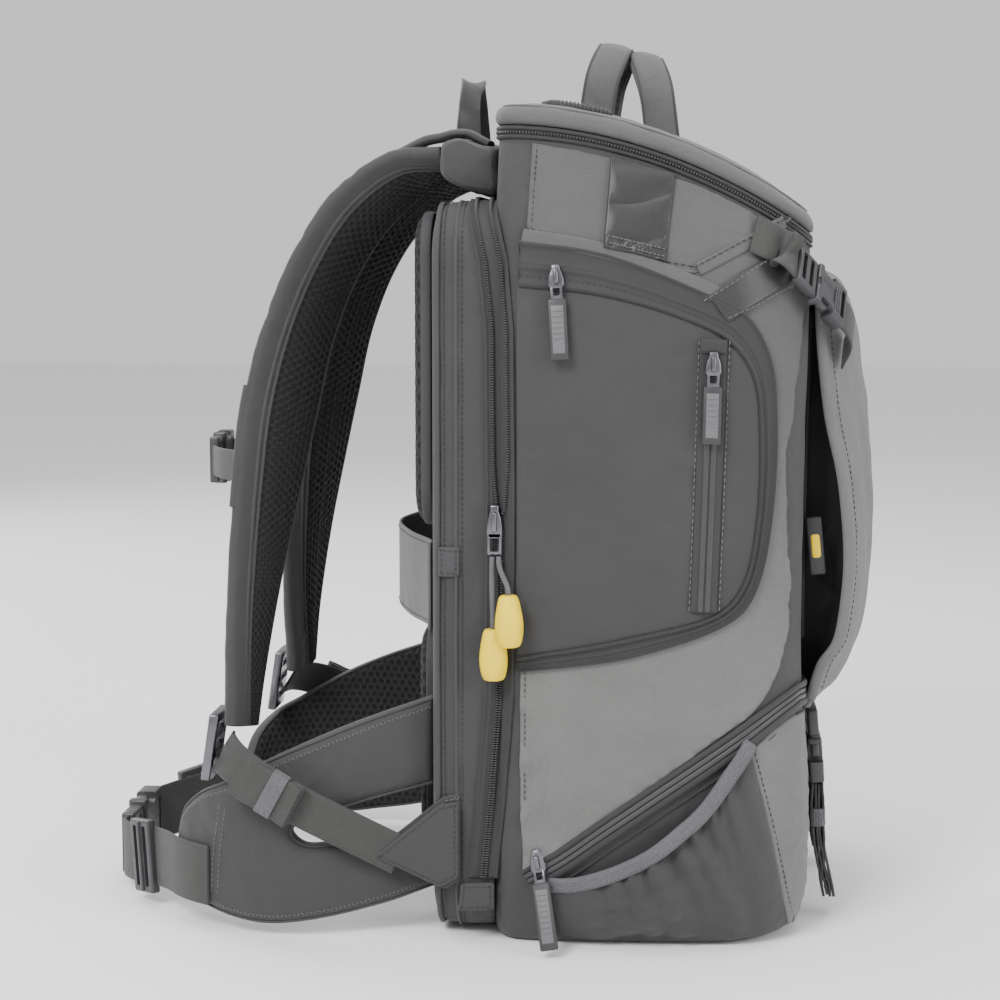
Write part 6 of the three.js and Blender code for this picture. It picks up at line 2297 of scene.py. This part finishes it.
belt_line = even(belt_points, 120)
belt_at = belt_line[76]
belt_ahead = unit(belt_line[78] - belt_line[74])
belt_out = unit(np.cross(belt_ahead, UP))
if belt_out[1] > 0:
    belt_out = -belt_out
hard_pair(
    adjuster(47.0, 24.0, 6.0), "belt_adjuster", placement(belt_at + belt_out * 3.2, belt_ahead, belt_out),
    PLASTIC
)


# Dark cloth that joins the flap to the bag on both sides, set back from the flap's edge; its charcoal is
# partly painted shade for the shadow behind the flap

GUSSET_SIDE = 0.65


def flap_gusset():
    rise = np.linspace(0.03, 0.95, 110)[:, None]
    share = np.linspace(0, 1, 26)[None]
    outer = flap_sheet(-GUSSET_SIDE, rise, 0.0) - [1.5, 0, 0]
    inner = outer * [0, 1, 1] + np.stack(
        [front_x(outer[..., 2]) + 0.5, outer[..., 1] * 0, outer[..., 2] * 0], axis=-1
    )
    grid = inner + (outer - inner) * share[..., None]
    folds = ripple(grid * [1.6, 0, 0.5], 26, 131) * 2.6 * np.sin(math.pi * share)
    grid = grid + folds[..., None] * LEFT
    return lattice(np.concatenate([grid, (grid - LEFT * 1.4)[:, ::-1]], axis=1), False, True, True)


build_pair("flap_gusset", [flap_gusset()], DARKER)


# Sewing thread, light and floor

for colour, thread in (("pale", THREAD), ("dark", DARK_THREAD)):
    build(colour + "_stitching", SEWN[colour], thread)


AIM = Vector((0, 0, 0.25))


def area_light(name, place, size, power):
    data = bpy.data.lights.new(name, "AREA")
    data.shape = "RECTANGLE"
    data.size, data.size_y = size
    data.energy = power
    lamp = bpy.data.objects.new(name, data)
    bpy.context.scene.collection.objects.link(lamp)
    lamp.location = place
    lamp.rotation_mode = "QUATERNION"
    lamp.rotation_quaternion = (AIM - Vector(place)).to_track_quat("-Z", "Y")


area_light("key", (-0.8, -1.7, 1.7), (0.9, 0.8), 58)
area_light("front_fill", (1.9, -1.2, 0.9), (1.0, 1.2), 28)
area_light("top", (0.1, 0.1, 2.1), (1.6, 1.6), 26)
area_light("back_fill", (-1.5, 1.4, 1.2), (1.4, 1.4), 26)
world = bpy.data.worlds.new("pale_studio")
world.use_nodes = True
world.node_tree.nodes["Background"].inputs["Color"].default_value = (1, 1, 1, 1)
world.node_tree.nodes["Background"].inputs["Strength"].default_value = 0.85
bpy.context.scene.world = world


def floor():
    bare()
    bpy.ops.mesh.primitive_plane_add(size=14, location=(0, 0, -0.0005))
    made = bpy.context.object
    made.name = "studio_floor"
    bpy.ops.object.transform_apply(location=True)
    pale, tree, shader = blank("pale_floor", roughness=0.9)
    grain = node(tree, "ShaderNodeTexNoise", {"Scale": 3.0})
    tree.links.new(
        shaded(tree, grain.outputs[0], (0.86, 0.86, 0.86, 1), (0.9, 0.9, 0.9, 1)), shader.inputs["Base Color"]
    )
    made.data.materials.append(pale)


floor()
